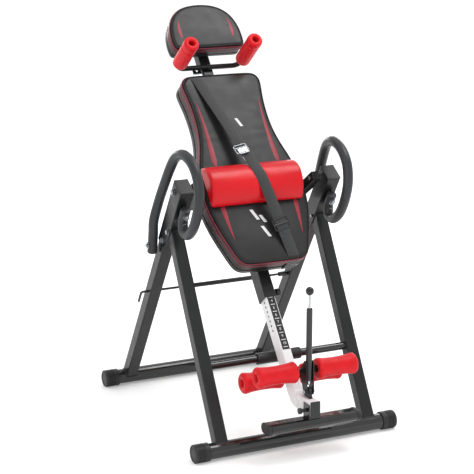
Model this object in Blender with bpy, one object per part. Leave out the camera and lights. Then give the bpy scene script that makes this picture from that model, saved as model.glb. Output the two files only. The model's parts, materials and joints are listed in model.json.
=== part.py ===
"""Inversion table: folding A-frame, swinging bed, sliding boom, headrest, ankle clamp and footrest.

Metres.  +Z up, -Y the user's foot side, +X the user's left when lying down.  The origin is the
middle of the footprint at floor level.  The tubes are hollow, the looped handles solid.
"""
import math

import bmesh
import bpy
import numpy as np
from mathutils import Matrix, Vector

# ------------------------------------------------------------------ driving sizes
GAP = 0.0003              # air left between neighbouring pieces
BASE_HALF = 0.350         # half length of both floor tubes over their end caps
BASE_R = 0.025            # floor tube radius
CAP_R = 0.029             # floor cap radius
BASE_Z = 0.0275           # height of the floor tube axis, flats of the caps rest on z = 0
FRONT_Y = -0.3265
REAR_Y = 0.4275
LEG = 0.040               # square leg tube
LEG_X = 0.256             # leg middle to the centre plane
WALL = 0.002
ROOT = Vector((0.0, 0.0382, 0.6475))     # foot of the pivot box on the rear leg's axis
REAR_TILT = math.radians(32.12)
HINGE = Vector((0.0, 0.0153, 0.6331))    # fold hinge of the front legs
FRONT_TILT = math.radians(-29.44)
PIVOT = Vector((0.0, -0.0355, 0.771))    # bed pivot
BED_TILT = math.radians(-38.4)
BOX_W = 0.0466
BOX_B0 = -0.0230
BOX_B1 = 0.0380
BOX_TOP = 0.171
HANDLE_R = 0.016
CROSS_Y = -0.1998
CROSS_Z = 0.251
STOP_Y = 0.1989
STOP_Z = 0.392
BOOM_Y = 0.1505           # boom axis behind the bed pivot, in bed coordinates
PAD_FACE = 0.012          # depth of the cushion's crown behind the pivot
BOARD_BACK = 0.088
CLAMP = Vector((0.0, -0.4045, 0.2000))   # ankle clamp hinge
FRONT_BAR = Vector((0.0, -0.3845, 0.2600))
REAR_BAR = Vector((0.0, -0.2885, 0.2125))
EXT_Z = 0.155             # axis height of the boom's forward foot
FOOT = Vector((0.0, -0.4265, 0.1100))

for old in list(bpy.data.objects):
    bpy.data.objects.remove(old, do_unlink=True)


# ------------------------------------------------------------------ materials
def material(name, rgb, metallic, roughness):
    m = bpy.data.materials.new(name)
    m.use_nodes = True
    shader = m.node_tree.nodes["Principled BSDF"]
    shader.inputs["Base Color"].default_value = (*rgb, 1.0)
    shader.inputs["Metallic"].default_value = metallic
    shader.inputs["Roughness"].default_value = roughness
    return m


BLACK = material("powder_coated_steel", (0.035, 0.035, 0.037), 0.0, 0.42)
GRIPTUBE = material("handle_coating", (0.055, 0.055, 0.057), 0.0, 0.55)
WHITE = material("white_coated_steel", (0.75, 0.75, 0.75), 0.0, 0.35)
CHROME = material("chrome_plate", (0.62, 0.62, 0.63), 1.0, 0.18)
ZINC = material("zinc_bolt", (0.60, 0.60, 0.61), 1.0, 0.30)
PLASTIC = material("black_plastic", (0.015, 0.015, 0.016), 0.0, 0.50)
RUBBER = material("black_rubber", (0.012, 0.012, 0.012), 0.0, 0.70)
VINYL = material("black_vinyl", (0.030, 0.030, 0.032), 0.0, 0.40)
RED = material("red_vinyl", (0.62, 0.012, 0.030), 0.0, 0.35)
FOAM = material("red_foam", (0.70, 0.018, 0.040), 0.0, 0.50)
WEB = material("grey_webbing", (0.045, 0.045, 0.047), 0.0, 0.75)
PLY = material("plywood", (0.42, 0.28, 0.15), 0.0, 0.65)


# ------------------------------------------------------------------ helpers
BED = bpy.data.objects.new("bed_axis", None)
bpy.context.collection.objects.link(BED)
BED.location = PIVOT
BED.rotation_euler = (BED_TILT, 0.0, 0.0)


def make(name, verts, faces, mat, loc=(0, 0, 0), rot=(0, 0, 0), parent=None):
    """One named object from points and faces, wound outward."""
    mesh = bpy.data.meshes.new(name)
    bm = bmesh.new()
    points = [bm.verts.new(tuple(v)) for v in verts]
    for face in faces:
        bm.faces.new([points[i] for i in face])
    bmesh.ops.remove_doubles(bm, verts=bm.verts, dist=1e-6)
    bmesh.ops.recalc_face_normals(bm, faces=bm.faces)
    big = [f for f in bm.faces if len(f.verts) > 4]
    bmesh.ops.triangulate(bm, faces=big)
    bm.to_mesh(mesh)
    bm.free()
    mesh.materials.append(mat)
    mesh.shade_smooth()
    mesh.set_sharp_from_angle(angle=math.radians(38))
    obj = bpy.data.objects.new(name, mesh)
    bpy.context.collection.objects.link(obj)
    obj.location = loc
    obj.rotation_euler = rot
    obj.parent = parent
    return obj


def join(pieces):
    """Several (verts, faces) lists as one."""
    verts = []
    faces = []
    for v, f in pieces:
        base = len(verts)
        verts += [tuple(p) for p in v]
        faces += [[i + base for i in face] for face in f]
    return verts, faces


def rounded(w, d, r, n=2):
    """Closed outline of a w by d rectangle with corner radius r."""
    out = []
    for k, (sx, sy) in enumerate([(1, 1), (-1, 1), (-1, -1), (1, -1)]):
        for i in range(n + 1):
            a = math.pi / 2 * (k + i / n)
            x = sx * (w / 2 - r) + r * math.cos(a)
            y = sy * (d / 2 - r) + r * math.sin(a)
            out.append((x, y))
    return out


def circle(r, n=20):
    """Outline of n points on a circle."""
    steps = [2 * math.pi * i / n for i in range(n)]
    return [(r * math.cos(a), r * math.sin(a)) for a in steps]


def stadium(w, h, n=7):
    """Flat oval: two half circles joined by straights, w wide and h high."""
    r = h / 2
    turn = np.linspace(-math.pi / 2, math.pi / 2, n)
    right = [(w / 2 - r + r * math.cos(a), r * math.sin(a)) for a in turn]
    left = [(-x, -y) for x, y in right]
    return right + left


def sweep(path, outer, inner=None, side=(1, 0, 0)):
    """Carry an outline along a path; 'side' is the outline's first axis, kept square to the path."""
    path = [Vector(p) for p in path]
    loops = [outer] if inner is None else [outer, inner]
    verts = []
    faces = []
    rows = []
    for loop in loops:
        start = len(verts)
        for i, p in enumerate(path):
            ahead = path[min(i + 1, len(path) - 1)] - path[max(i - 1, 0)]
            t = ahead.normalized()
            a = Vector(side)
            a = (a - t * a.dot(t)).normalized()
            b = t.cross(a)
            scale = 1.0
            if 0 < i < len(path) - 1:
                half = (path[i + 1] - p).angle(p - path[i - 1]) / 2
                scale = 1.0 / max(math.cos(half), 0.5)
            for x, y in loop:
                verts.append(p + a * x + b * (y * scale))
        n = len(loop)
        rows.append((start, n))
        for i in range(len(path) - 1):
            for j in range(n):
                k = (j + 1) % n
                here = start + i * n
                faces.append([here + j, here + k, here + n + k, here + n + j])
    last = len(path) - 1
    if inner is None:
        n = len(outer)
        faces.append(list(range(n)))
        faces.append([last * n + j for j in range(n)])
    else:
        (s0, n), (s1, _) = rows
        for end in (0, last):
            for j in range(n):
                k = (j + 1) % n
                out = s0 + end * n
                far = s1 + end * n
                faces.append([out + j, out + k, far + k, far + j])
    return verts, faces


def square_tube(path, outer, inner, side=(1, 0, 0)):
    """Hollow rectangular tube; outer and inner are (width, depth, corner radius)."""
    return sweep(path, rounded(*outer), rounded(*inner), side)


def lathe(profile, axis="x", n=20, closed=False, shape=None):
    """Turn (along, radius) points about an axis; shape(i, angle) may bend a ring's radius."""
    verts = []
    faces = []
    for i, (along, r) in enumerate(profile):
        for j in range(n):
            a = 2 * math.pi * j / n
            rr = r * (shape(i, a) if shape else 1.0)
            c, s = rr * math.cos(a), rr * math.sin(a)
            verts.append({"x": (along, c, s), "y": (s, along, c), "z": (c, s, along)}[axis])
    m = len(profile)
    for i in range(m if closed else m - 1):
        for j in range(n):
            k = (j + 1) % n
            i2 = (i + 1) % m
            faces.append([i * n + j, i * n + k, i2 * n + k, i2 * n + j])
    if not closed:
        faces.append(list(range(n)))
        faces.append([(m - 1) * n + j for j in range(n)])
    return verts, faces


def slab(lo, hi):
    """Axis-aligned box between two corners."""
    x0, y0, z0 = lo
    x1, y1, z1 = hi
    ring = [(x0, y0), (x1, y0), (x1, y1), (x0, y1)]
    v = [(x, y, z0) for x, y in ring] + [(x, y, z1) for x, y in ring]
    f = [(0, 1, 2, 3), (4, 5, 6, 7), (0, 1, 5, 4), (1, 2, 6, 5), (2, 3, 7, 6), (3, 0, 4, 7)]
    return v, [list(q) for q in f]


def prism(outline, x0, x1):
    """Outline in (y, z) carried along x."""
    n = len(outline)
    v = [(x0, y, z) for y, z in outline] + [(x1, y, z) for y, z in outline]
    f = [list(range(n)), [n + j for j in range(n)]]
    f += [[j, (j + 1) % n, n + (j + 1) % n, n + j] for j in range(n)]
    return v, f


def hull2(circles, n=7):
    """Convex outline round a set of (y, z, radius) circles."""
    pts = []
    for y, z, r in circles:
        pts += [(y + a, z + b) for a, b in circle(r, 2 * n)]
    pts = sorted(set(pts))

    def half(seq):
        out = []
        for p in seq:
            while len(out) > 1:
                ax, ay = out[-1][0] - out[-2][0], out[-1][1] - out[-2][1]
                bx, by = p[0] - out[-2][0], p[1] - out[-2][1]
                if ax * by - ay * bx > 1e-12:
                    break
                out.pop()
            out.append(p)
        return out[:-1]
    return half(pts) + half(pts[::-1])


def chaikin(points, rounds):
    """Corner cutting of a closed outline."""
    p = np.array(points, float)
    for _ in range(rounds):
        q = np.roll(p, -1, axis=0)
        p = np.stack([0.75 * p + 0.25 * q, 0.25 * p + 0.75 * q], axis=1).reshape(-1, 2)
    return p


def inset(p, d):
    """Outline moved inward by d along its normals."""
    t = np.roll(p, -1, axis=0) - np.roll(p, 1, axis=0)
    t /= np.linalg.norm(t, axis=1)[:, None]
    n = np.stack([-t[:, 1], t[:, 0]], axis=1)
    x, y = p[:, 0], p[:, 1]
    area = np.sum(x * np.roll(y, -1) - y * np.roll(x, -1))
    return p + n * d * (1 if area > 0 else -1)


def cushion(outline, layers):
    """Stack of inset outlines (inset, depth): closed at both ends.  Depth runs along +Y."""
    verts = []
    faces = []
    n = len(outline)
    for d, y in layers:
        verts += [(x, y, z) for x, z in inset(outline, d)]
    for i in range(len(layers) - 1):
        for j in range(n):
            k = (j + 1) % n
            faces.append([i * n + j, i * n + k, (i + 1) * n + k, (i + 1) * n + j])
    faces.append(list(range(n)))
    faces.append([(len(layers) - 1) * n + j for j in range(n)])
    return verts, faces


def combine(target, solids, word, operation):
    """Boolean modifiers on an object; the solids are (verts, faces) in the object's own frame."""
    for i, (v, f) in enumerate(solids):
        name = word + "_" + target.name + str(i)
        tool = make(name, v, f, PLASTIC, target.location, target.rotation_euler, target.parent)
        tool.hide_render = True
        tool.display_type = "WIRE"
        step = target.modifiers.new(name, "BOOLEAN")
        step.operation = operation
        step.solver = "EXACT"
        step.object = tool


def drill(target, cutters):
    """Cut closed solids out of an object."""
    combine(target, cutters, "cut", "DIFFERENCE")


def weld(target, parts):
    """Join overlapping closed solids to an object, so that it becomes one body."""
    combine(target, parts, "weld", "UNION")


def soften(obj, width, angle=None):
    """Round the edges of an object."""
    edge = obj.modifiers.new("edge", "BEVEL")
    edge.width = width
    edge.segments = 2
    edge.limit_method = "ANGLE"
    edge.angle_limit = math.radians(angle or 30)


def plate(outline, a0, a1, along="z"):
    """Closed solid: an outline carried from a0 to a1 along z, with (x, y) points, or along y, with (x, z)."""
    n = len(outline)
    if along == "z":
        v = [(x, y, a0) for x, y in outline] + [(x, y, a1) for x, y in outline]
    else:
        v = [(x, a0, z) for x, z in outline] + [(x, a1, z) for x, z in outline]
    f = [list(range(n)), [n + j for j in range(n)]]
    f += [[j, (j + 1) % n, n + (j + 1) % n, n + j] for j in range(n)]
    return v, f


def rod_x(x0, x1, y, z, r, n=14):
    """Solid round bar along x."""
    v, f = lathe([(x0, r), (x1, r)], n=n)
    return [(a, b + y, c + z) for a, b, c in v], f


def hexring(a):
    """Radius of a hexagon with unit corner radius at angle a."""
    return math.cos(math.pi / 6) / math.cos((a % (math.pi / 3)) - math.pi / 6)


def bolt(x0, x1, shaft, head, thick=0.006, collar=None):
    """Hexagon bolt along x: head outside x1, shaft to x0, optional (from, to, radius) shoulder."""
    profile = [(x0, shaft * 0.85), (x0 + 0.001, shaft)]
    if collar:
        start, end, r = collar
        profile += [(start, shaft), (start, r), (end, r), (end, shaft)]
    washer = head * 1.16
    profile += [(x1, shaft), (x1, washer), (x1 + 0.0014, washer), (x1 + 0.0014, head)]
    profile += [(x1 + thick, head), (x1 + thick + 0.001, head * 0.86)]
    last = len(profile)

    def shape(i, a):
        return hexring(a) if i >= last - 3 else 1.0
    return lathe(profile, n=12, shape=shape)


def moved(piece, matrix):
    v, f = piece
    return [tuple(matrix @ Vector(p)) for p in v], f


# ------------------------------------------------------------------ floor tubes and caps
def base(prefix, y):
    ends = BASE_HALF - 0.004
    line = [(-ends, 0, 0), (ends, 0, 0)]
    v, f = sweep(line, circle(BASE_R, 24), circle(BASE_R - WALL, 24), side=(0, 1, 0))
    make(prefix + "_base_tube", v, f, BLACK, (0, y, BASE_Z))
    for side, s in (("left", 1), ("right", -1)):
        profile = [(0.0000, CAP_R - 0.003), (0.0025, CAP_R)]
        profile += [(0.030, CAP_R), (0.033, CAP_R - 0.0016), (0.036, CAP_R)]
        profile += [(0.050, CAP_R), (0.050, BASE_R + GAP), (0.0037, BASE_R + GAP)]
        v, f = lathe(profile, n=24)
        v = [(s * (BASE_HALF - a), b, max(c, -BASE_Z)) for a, b, c in v]
        make(prefix + "_cap_" + side, v, f, RUBBER, (0, y, BASE_Z))


base("rear", REAR_Y)
base("front", FRONT_Y)


# ------------------------------------------------------------------ legs
def saddle(obj, y, z):
    """Seat a leg on its floor tube."""
    rot = Matrix.Rotation(-obj.rotation_euler.x, 4, "X")
    centre = rot @ (Vector((obj.location.x, y, z)) - obj.location)
    return rod_x(-0.05, 0.05, centre.y, centre.z, BASE_R + GAP, 24)


def leg_tube(low, high):
    """Square leg tube along local z."""
    inner = LEG - 2 * WALL
    return square_tube([(0, 0, low), (0, 0, high)], (LEG, LEG, 0.004), (inner, inner, 0.003))


STOP_LOCAL = Matrix.Rotation(-REAR_TILT, 4, "X") @ (Vector((0, STOP_Y, STOP_Z)) - ROOT)
rear_len = (Vector((0, REAR_Y, BASE_Z)) - ROOT).length
front_len = (Vector((0, FRONT_Y, BASE_Z)) - HINGE).length

for side, s in (("left", 1), ("right", -1)):
    x = s * LEG_X
    tube = leg_tube(-rear_len, -0.040)
    leg = make("rear_leg_" + side, *tube, BLACK, (x, ROOT.y, ROOT.z), (REAR_TILT, 0, 0))
    drill(leg, [saddle(leg, REAR_Y, BASE_Z), rod_x(-0.04, 0.04, STOP_LOCAL.y, STOP_LOCAL.z, 0.0045)])

    tube = leg_tube(-front_len, 0.0)
    leg = make("front_leg_" + side, *tube, BLACK, (x, HINGE.y, HINGE.z), (FRONT_TILT, 0, 0))
    # closed rounded eye on top of the tube, a half cylinder about the hinge
    r = LEG / 2 - 0.0001
    arc = [(r * math.cos(a), r * math.sin(a)) for a in np.linspace(0, math.pi, 13)]
    weld(leg, [prism(arc + [(-r, -0.020), (r, -0.020)], -r, r)])
    holes = [saddle(leg, FRONT_Y, BASE_Z), rod_x(-0.04, 0.04, 0, 0, 0.0054)]
    drill(leg, holes)

    # pivot box: channel round both leg tops, closed tube above
    outer = slab((-BOX_W / 2, -BOX_B1, -0.078), (BOX_W / 2, -BOX_B0, BOX_TOP))
    box = make("pivot_box_" + side, *outer, BLACK, (x, ROOT.y, ROOT.z), (REAR_TILT, 0, 0))
    soften(box, 0.0025)
    inside = LEG / 2 + GAP
    p = Matrix.Rotation(-REAR_TILT, 4, "X") @ (PIVOT - ROOT)
    h = Matrix.Rotation(-REAR_TILT, 4, "X") @ (HINGE - ROOT)
    wedge = [(-0.060, -0.012), (0.000, -0.110), (-0.060, -0.110)]
    back = [(0.030, -0.058), (0.030, -0.110), (-0.004, -0.110)]
    drill(box, [
        slab((-inside, -BOX_B1 + 0.0025, -0.10), (inside, inside, BOX_TOP + 0.01)),
        slab((-inside, -0.060, -0.10), (inside, -BOX_B1 + 0.010, 0.022)),
        prism(wedge, -0.05, 0.05),
        prism(back, -0.05, 0.05),
        rod_x(-0.04, 0.04, p.y, p.z, 0.0063),
        rod_x(-0.04, 0.04, h.y, h.z, 0.0053),
    ])
    lid = slab((-0.0236, -BOX_B1 - 0.0008, BOX_TOP + GAP), (0.0236, -BOX_B0 + 0.0008, BOX_TOP + 0.0045))
    cap = make("box_cap_" + side, *lid, PLASTIC, (x, ROOT.y, ROOT.z), (REAR_TILT, 0, 0))
    soften(cap, 0.0015)


# ------------------------------------------------------------------ handles
def smooth_path(points, per=4):
    """Catmull-Rom curve through the points."""
    p = [Vector(q) for q in points]
    p = [p[0] * 2 - p[1]] + p + [p[-1] * 2 - p[-2]]
    out = []
    for i in range(1, len(p) - 2):
        a, b, c, d = p[i - 1:i + 3]
        for k in range(per):
            t = k / per
            out.append(0.5 * (2 * b + (c - a) * t + (2 * a - 5 * b + 4 * c - d) * t ** 2
                              + (3 * b - a - 3 * c + d) * t ** 3))
    out.append(p[-2])
    return out


def box_point(a, b, x=0.0):
    """World point a up the pivot box and b in front of the rear leg's axis."""
    return Vector((x, 0, 0)) + ROOT + Matrix.Rotation(REAR_TILT, 4, "X") @ Vector((0, -b, a))


SEAT = BOX_B1 + HANDLE_R + GAP
OUT_X = LEG_X + BOX_W / 2 + HANDLE_R + GAP
loop = [box_point(0.122, SEAT, LEG_X), box_point(0.100, SEAT + 0.0004, LEG_X)]
loop.append(box_point(0.076, SEAT + 0.0028, LEG_X))
HANDLE_LINE = (            # (x, y, z) of the loop, from under the box round to the rear leg
    (0.256, -0.0520, 0.6500), (0.256, -0.0800, 0.6420), (0.256, -0.1120, 0.6580),
    (0.256, -0.1400, 0.6900), (0.256, -0.1640, 0.7370), (0.256, -0.1745, 0.7850),
    (0.257, -0.1640, 0.8350), (0.258, -0.1310, 0.8720), (0.260, -0.0900, 0.8890),
    (0.262, -0.0520, 0.8900), (0.266, -0.0160, 0.8720), (0.271, 0.0140, 0.8330),
    (0.279, 0.0560, 0.7600), (0.286, 0.0800, 0.7060), (OUT_X, 0.0900, 0.6560),
    (OUT_X, 0.0965, 0.6150), (OUT_X, 0.1035, 0.5730), (OUT_X, 0.1080, 0.5460))
loop += [Vector(p) for p in HANDLE_LINE]
for side, s in (("left", 1), ("right", -1)):
    path = smooth_path([(s * p.x, p.y, p.z) for p in loop], 2)
    v, f = sweep(path, circle(HANDLE_R, 14))
    centre = Vector((s * LEG_X, -0.060, 0.740))
    v = [Vector(q) - centre for q in v]
    make("handle_" + side, v, f, GRIPTUBE, centre)

# ------------------------------------------------------------------ bolts
for side, s in (("left", 1), ("right", -1)):
    flip = Matrix.Identity(4) if s > 0 else Matrix.Rotation(math.pi, 4, "Z")
    x1 = LEG_X + BOX_W / 2 + GAP
    v, f = moved(bolt(LEG_X - BOX_W / 2 - 0.0065, x1, 0.005, 0.0085), flip)
    make("hinge_bolt_" + side, v, f, ZINC, HINGE)
    v, f = moved(bolt(0.190, x1, 0.006, 0.0105, 0.0075, (0.2224, 0.2323, 0.0120)), flip)
    make("pivot_bolt_" + side, v, f, ZINC, PIVOT)

# ------------------------------------------------------------------ inversion stop rod
def sleeve_ring(half, r, bore):
    """Section of a rubber sleeve with chamfered ends."""
    end = half - 0.0015
    return [(-half, bore), (-half, r - 0.001), (-end, r), (end, r), (half, r - 0.001), (half, bore)]


ur = Vector((0, -math.sin(REAR_TILT), math.cos(REAR_TILT)))
path = [Vector((x, STOP_Y, STOP_Z)) - ur * drop for x, drop in (
    (0.284, 0.0), (-0.292, 0.0), (-0.2965, 0.002), (-0.2985, 0.0065), (-0.2985, 0.045))]
v, f = sweep(path, circle(0.004, 14), side=(0, math.cos(REAR_TILT), math.sin(REAR_TILT)))
make("stop_rod", v, f, CHROME)
ring = sleeve_ring(0.130, 0.0075, 0.0043)
make("stop_sleeve", *lathe(ring, n=20, closed=True), RUBBER, (0, STOP_Y, STOP_Z))
ring = [(0.205, 0.0043), (0.205, 0.0080), (0.232, 0.0080), (0.232, 0.0043)]
make("stop_collar", *lathe(ring, n=20, closed=True), PLASTIC, (0, STOP_Y, STOP_Z))

# ------------------------------------------------------------------ front cross bar and bumper
reach = LEG_X - LEG / 2 - GAP
v, f = sweep([(-reach, 0, 0), (reach, 0, 0)], circle(0.0125, 24), circle(0.0107, 24), side=(0, 1, 0))
make("crossbar", v, f, BLACK, (0, CROSS_Y, CROSS_Z))
ring = sleeve_ring(0.076, 0.0185, 0.0128)
make("bumper_sleeve", *lathe(ring, n=24, closed=True), RUBBER, (0, CROSS_Y, CROSS_Z))

# ------------------------------------------------------------------ bed frame
# bed coordinates: +z to the head, -y to the user, origin on the pivot
line = [(0, BOOM_Y, -0.337), (0, BOOM_Y, 0.430)]
v, f = square_tube(line, (0.040, 0.060, 0.005), (0.0355, 0.0555, 0.003))
boom = make("boom_tube", v, f, BLACK, parent=BED)
tubes = []
bores = [rod_x(0.010, 0.03, BOOM_Y, -0.315, 0.0043)]
for reach, z in ((0.085, -0.185), (0.105, 0.235)):
    line = [(-reach, 0.1050, z), (reach, 0.1050, z)]
    tubes.append(sweep(line, rounded(0.032, 0.030, 0.003), side=(0, 1, 0)))
    bores.append(rod_x(-0.12, -0.0230, 0.1050, z, 0.0125, 8))
    bores.append(rod_x(0.0230, 0.12, 0.1050, z, 0.0125, 8))
weld(boom, tubes)
drill(boom, bores)
CROSS_T = 0.1045
tube_out = rounded(0.030, 0.030, 0.003)
tube_in = rounded(0.026, 0.026, 0.002)
v, f = sweep([(-0.170, CROSS_T, 0.0), (0.170, CROSS_T, 0.0)], tube_out, tube_in, side=(0, 1, 0))
make("pivot_crosstube", v, f, BLACK, parent=BED)
arm_shape = [(0.1703, 0.1195), (0.1703, 0.0895), (0.1835, 0.0895), (0.1930, 0.010)]
arm_shape += [(0.1960, -0.018), (0.2220, -0.018), (0.2220, 0.030), (0.2080, 0.1195)]
for side, s in (("left", 1), ("right", -1)):
    blank = plate([(s * x, y) for x, y in arm_shape], -0.016, 0.016)
    arm = make("pivot_arm_" + side, *blank, BLACK, parent=BED)
    soften(arm, 0.0025, 35)
    drill(arm, [rod_x(min(s * 0.18, s * 0.23), max(s * 0.18, s * 0.23), 0, 0, 0.0063)])

# ------------------------------------------------------------------ backrest
half = [(0.000, -0.262), (0.075, -0.262), (0.104, -0.258), (0.122, -0.240), (0.138, -0.195)]
half += [(0.160, -0.130), (0.176, -0.055), (0.176, 0.015), (0.162, 0.085), (0.142, 0.145)]
half += [(0.130, 0.200), (0.127, 0.260), (0.131, 0.320), (0.138, 0.362), (0.139, 0.388)]
half += [(0.124, 0.408), (0.098, 0.413), (0.000, 0.413)]
outline = half + [(-x, z) for x, z in half[-2:0:-1]]
outline = chaikin(outline, 1)
v, f = cushion(inset(outline, 0.004), [(0.0, BOARD_BACK), (0.0, BOARD_BACK - 0.012)])
make("back_board", v, f, PLY, parent=BED)
layers = [(0.003, BOARD_BACK - 0.0123), (0.0, BOARD_BACK - 0.0150), (0.0, 0.0360), (0.004, 0.0240),
          (0.013, 0.0170), (0.030, PAD_FACE)]
v, f = cushion(outline, layers)
make("back_cushion", v, f, VINYL, parent=BED)

# ------------------------------------------------------------------ lumbar roll: D section along x
ROLL_BACK = PAD_FACE - 0.0006
sect = [(ROLL_BACK, -0.056), (-0.006, -0.060), (-0.034, -0.034), (-0.052, 0.010), (-0.044, 0.052)]
sect += [(-0.018, 0.080), (ROLL_BACK, 0.090), (ROLL_BACK, 0.050), (ROLL_BACK, -0.020)]
sect = chaikin(sect, 2)
sect[:, 0] = np.minimum(sect[:, 0], ROLL_BACK)
rolls = [(-0.168, 0.007), (-0.1665, 0.003), (-0.162, 0.0), (0.162, 0.0), (0.1665, 0.003), (0.168, 0.007)]
verts = []
faces = []
n = len(sect)
for x, d in rolls:
    verts += [(x, y, z) for y, z in inset(sect, d)]
for i in range(len(rolls) - 1):
    here = i * n
    faces += [[here + j, here + (j + 1) % n, here + n + (j + 1) % n, here + n + j] for j in range(n)]
faces.append(list(range(n)))
faces.append([(len(rolls) - 1) * n + j for j in range(n)])
roll = make("lumbar_roll", verts, faces, RED, parent=BED)
drill(roll, [rod_x(-0.20, -0.150, -0.016, 0.010, 0.0100), rod_x(0.150, 0.20, -0.016, 0.010, 0.0100)])

# ------------------------------------------------------------------ strap and slide buckle
def strap_x(z):
    """The strap drifts sideways as it comes down the bed."""
    return -0.068 + 0.186 * (0.425 - z)


T = 0.0009
LIFT = T + 0.0006
under_strap = [(0.086, 0.413), (0.034, 0.413), (0.024, 0.4095), (0.017, 0.4005), (PAD_FACE, 0.384)]
under_strap += [(y, z) for y, z in sect if y < 0.004]
under_strap += [(PAD_FACE, -0.232), (0.017, -0.2495), (0.024, -0.2585), (0.034, -0.262), (0.0884, -0.262)]
run = hull2([(y, z, LIFT) for y, z in under_strap], 4)
top_back = max(range(len(run)), key=lambda i: run[i][0] + 0.2 * run[i][1])
ordered = run[top_back:] + run[:top_back]
run = [q for q in ordered if q[1] > 0.4135 or q[0] < 0.0885]
run = [(0.086, 0.413 + LIFT)] + [q for p, q in zip(run, run[1:]) if math.dist(p, q) > 0.0012]
run.append((0.0905, -0.2600))
run.append((0.0905, -0.2060))
path = [(strap_x(z), y, z) for y, z in run]
v, f = sweep(path, [(0.019, T), (-0.019, T), (-0.019, -T), (0.019, -T)])
make("strap", v, f, WEB, parent=BED)
bz = -0.125
after = next(i for i, q in enumerate(run) if q[1] < bz)
(y0, z0), (y1, z1) = run[after - 1], run[after]
by = y0 + (y1 - y0) * (bz - z0) / (z1 - z0)
frame_out = rounded(0.052, 0.040, 0.005, 2)
tilt = math.atan2(y1 - y0, z0 - z1)
drift = Matrix.Rotation(-math.atan(0.186), 4, "Y")
body = moved(sweep([(0, -0.0022, 0), (0, 0.0022, 0)], frame_out), drift)
buckle = make("strap_buckle", *body, PLASTIC, (strap_x(bz), by, bz), (tilt, 0, 0), BED)
slots = [slab((-0.0200, -0.01, 0.0035), (0.0200, 0.01, 0.0150))]
slots.append(slab((-0.0200, -0.01, -0.0150), (0.0200, 0.01, -0.0035)))
slots.append(slab((-0.0197, -0.0013, -0.03), (0.0197, 0.0013, 0.03)))
drill(buckle, [moved(q, drift) for q in slots])

# ------------------------------------------------------------------ headrest
line = [(0, CROSS_T, 0.2510), (0, CROSS_T, 0.6000)]
v, f = square_tube(line, (0.030, 0.028, 0.003), (0.0265, 0.0245, 0.002))
make("head_post", v, f, CHROME, parent=BED)
line = [(0, CROSS_T, 0.4520), (0, CROSS_T, 0.6300)]
v, f = square_tube(line, (0.038, 0.036, 0.004), (0.0312, 0.0292, 0.002))
sleeve = make("head_sleeve", v, f, BLACK, parent=BED)
weld(sleeve, [slab((-0.050, 0.0793, 0.5350), (0.050, 0.0869, 0.6250))])
BAR_S = 0.4755
BAR_R = 0.0085
path = [Vector((-0.113, -0.060, BAR_S)), Vector((-0.113, 0.050, BAR_S))]
centre_y = 0.0860 - BAR_R
for a in np.linspace(0.15, 1.0, 6):
    t = a * math.pi / 2
    across = 0.026 * (1 - math.cos(t))
    path.append(Vector((across - 0.113, centre_y - 0.026 + 0.026 * math.sin(t), BAR_S)))
path += [Vector((-p.x, p.y, p.z)) for p in path[::-1]]
v, f = sweep(path, circle(BAR_R, 12), side=(0, 0, 1))
make("grip_bar", v, f, BLACK, parent=BED)
for side, s in (("left", 1), ("right", -1)):
    ring = [(-0.085, 0.0105), (-0.085, 0.0190), (-0.0820, 0.0235), (-0.0760, 0.0250), (0.042, 0.0250),
            (0.048, 0.0200), (0.048, 0.0090), (-0.060, 0.0090), (-0.0605, 0.0105)]
    grip = lathe(ring, axis="y", n=18, closed=True)
    make("head_grip_" + side, *grip, FOAM, (s * 0.113, 0, BAR_S), parent=BED)
half = [(0.000, 0.512), (0.080, 0.512), (0.118, 0.514), (0.140, 0.534), (0.150, 0.580)]
half += [(0.142, 0.626), (0.112, 0.668), (0.060, 0.693), (0.000, 0.700)]
head = chaikin(half + [(-x, z) for x, z in half[-2:0:-1]], 2)
v, f = cushion(inset(head, 0.006), [(0.0, 0.0790), (0.0, 0.0710)])
make("pillow_board", v, f, PLY, parent=BED)
layers = [(0.003, 0.0707), (0.0, 0.0680), (0.0, 0.0340), (0.004, 0.0240), (0.013, 0.0175), (0.030, 0.0135)]
make("pillow", *cushion(head, layers), VINYL, parent=BED)

# ------------------------------------------------------------------ height pull pin on the boom
ring = [(0.0182, 0.0040), (0.0203, 0.0040), (0.0203, 0.0075), (0.0330, 0.0075)]
ring += [(0.0335, 0.0110), (0.0350, 0.0125), (0.0470, 0.0125), (0.0490, 0.0105)]
make("height_pin", *lathe(ring, n=16), PLASTIC, (0, BOOM_Y, -0.315), parent=BED)

# ------------------------------------------------------------------ inner boom with its forward foot
turn = Matrix.Translation(PIVOT) @ Matrix.Rotation(BED_TILT, 4, "X")
top = turn @ Vector((0, BOOM_Y, -0.070))
down = (turn @ Vector((0, BOOM_Y, -1.0)) - top).normalized()
corner = top + down * ((top.z - EXT_Z) / -down.z)
back = Vector((0, -1, 0))
bend_r = 0.045
ang = down.angle(back)
cut = bend_r * math.tan(ang / 2)
path = [top]
a0 = corner - down * cut
centre = a0 + (back - down * back.dot(down)).normalized() * bend_r
for k in range(7):
    a = ang * k / 6
    r = a0 - centre
    path.append(centre + Matrix.Rotation(-a, 4, "X") @ r)
path.append(Vector((0, -0.4460, EXT_Z)))
v, f = sweep(path, rounded(0.032, 0.050, 0.004), rounded(0.028, 0.046, 0.002))
origin = Vector((0, REAR_BAR.y, REAR_BAR.z))
inner = make("inner_boom", [Vector(q) - origin for q in v], f, WHITE, origin)
drill(inner, [rod_x(-0.03, 0.03, 0, 0, 0.0083)])
plug = slab((-0.0165, -0.4500, EXT_Z - 0.0255), (0.0165, -0.4463, EXT_Z + 0.0255))
soften(make("boom_plug", *plug, PLASTIC), 0.0012)

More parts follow.
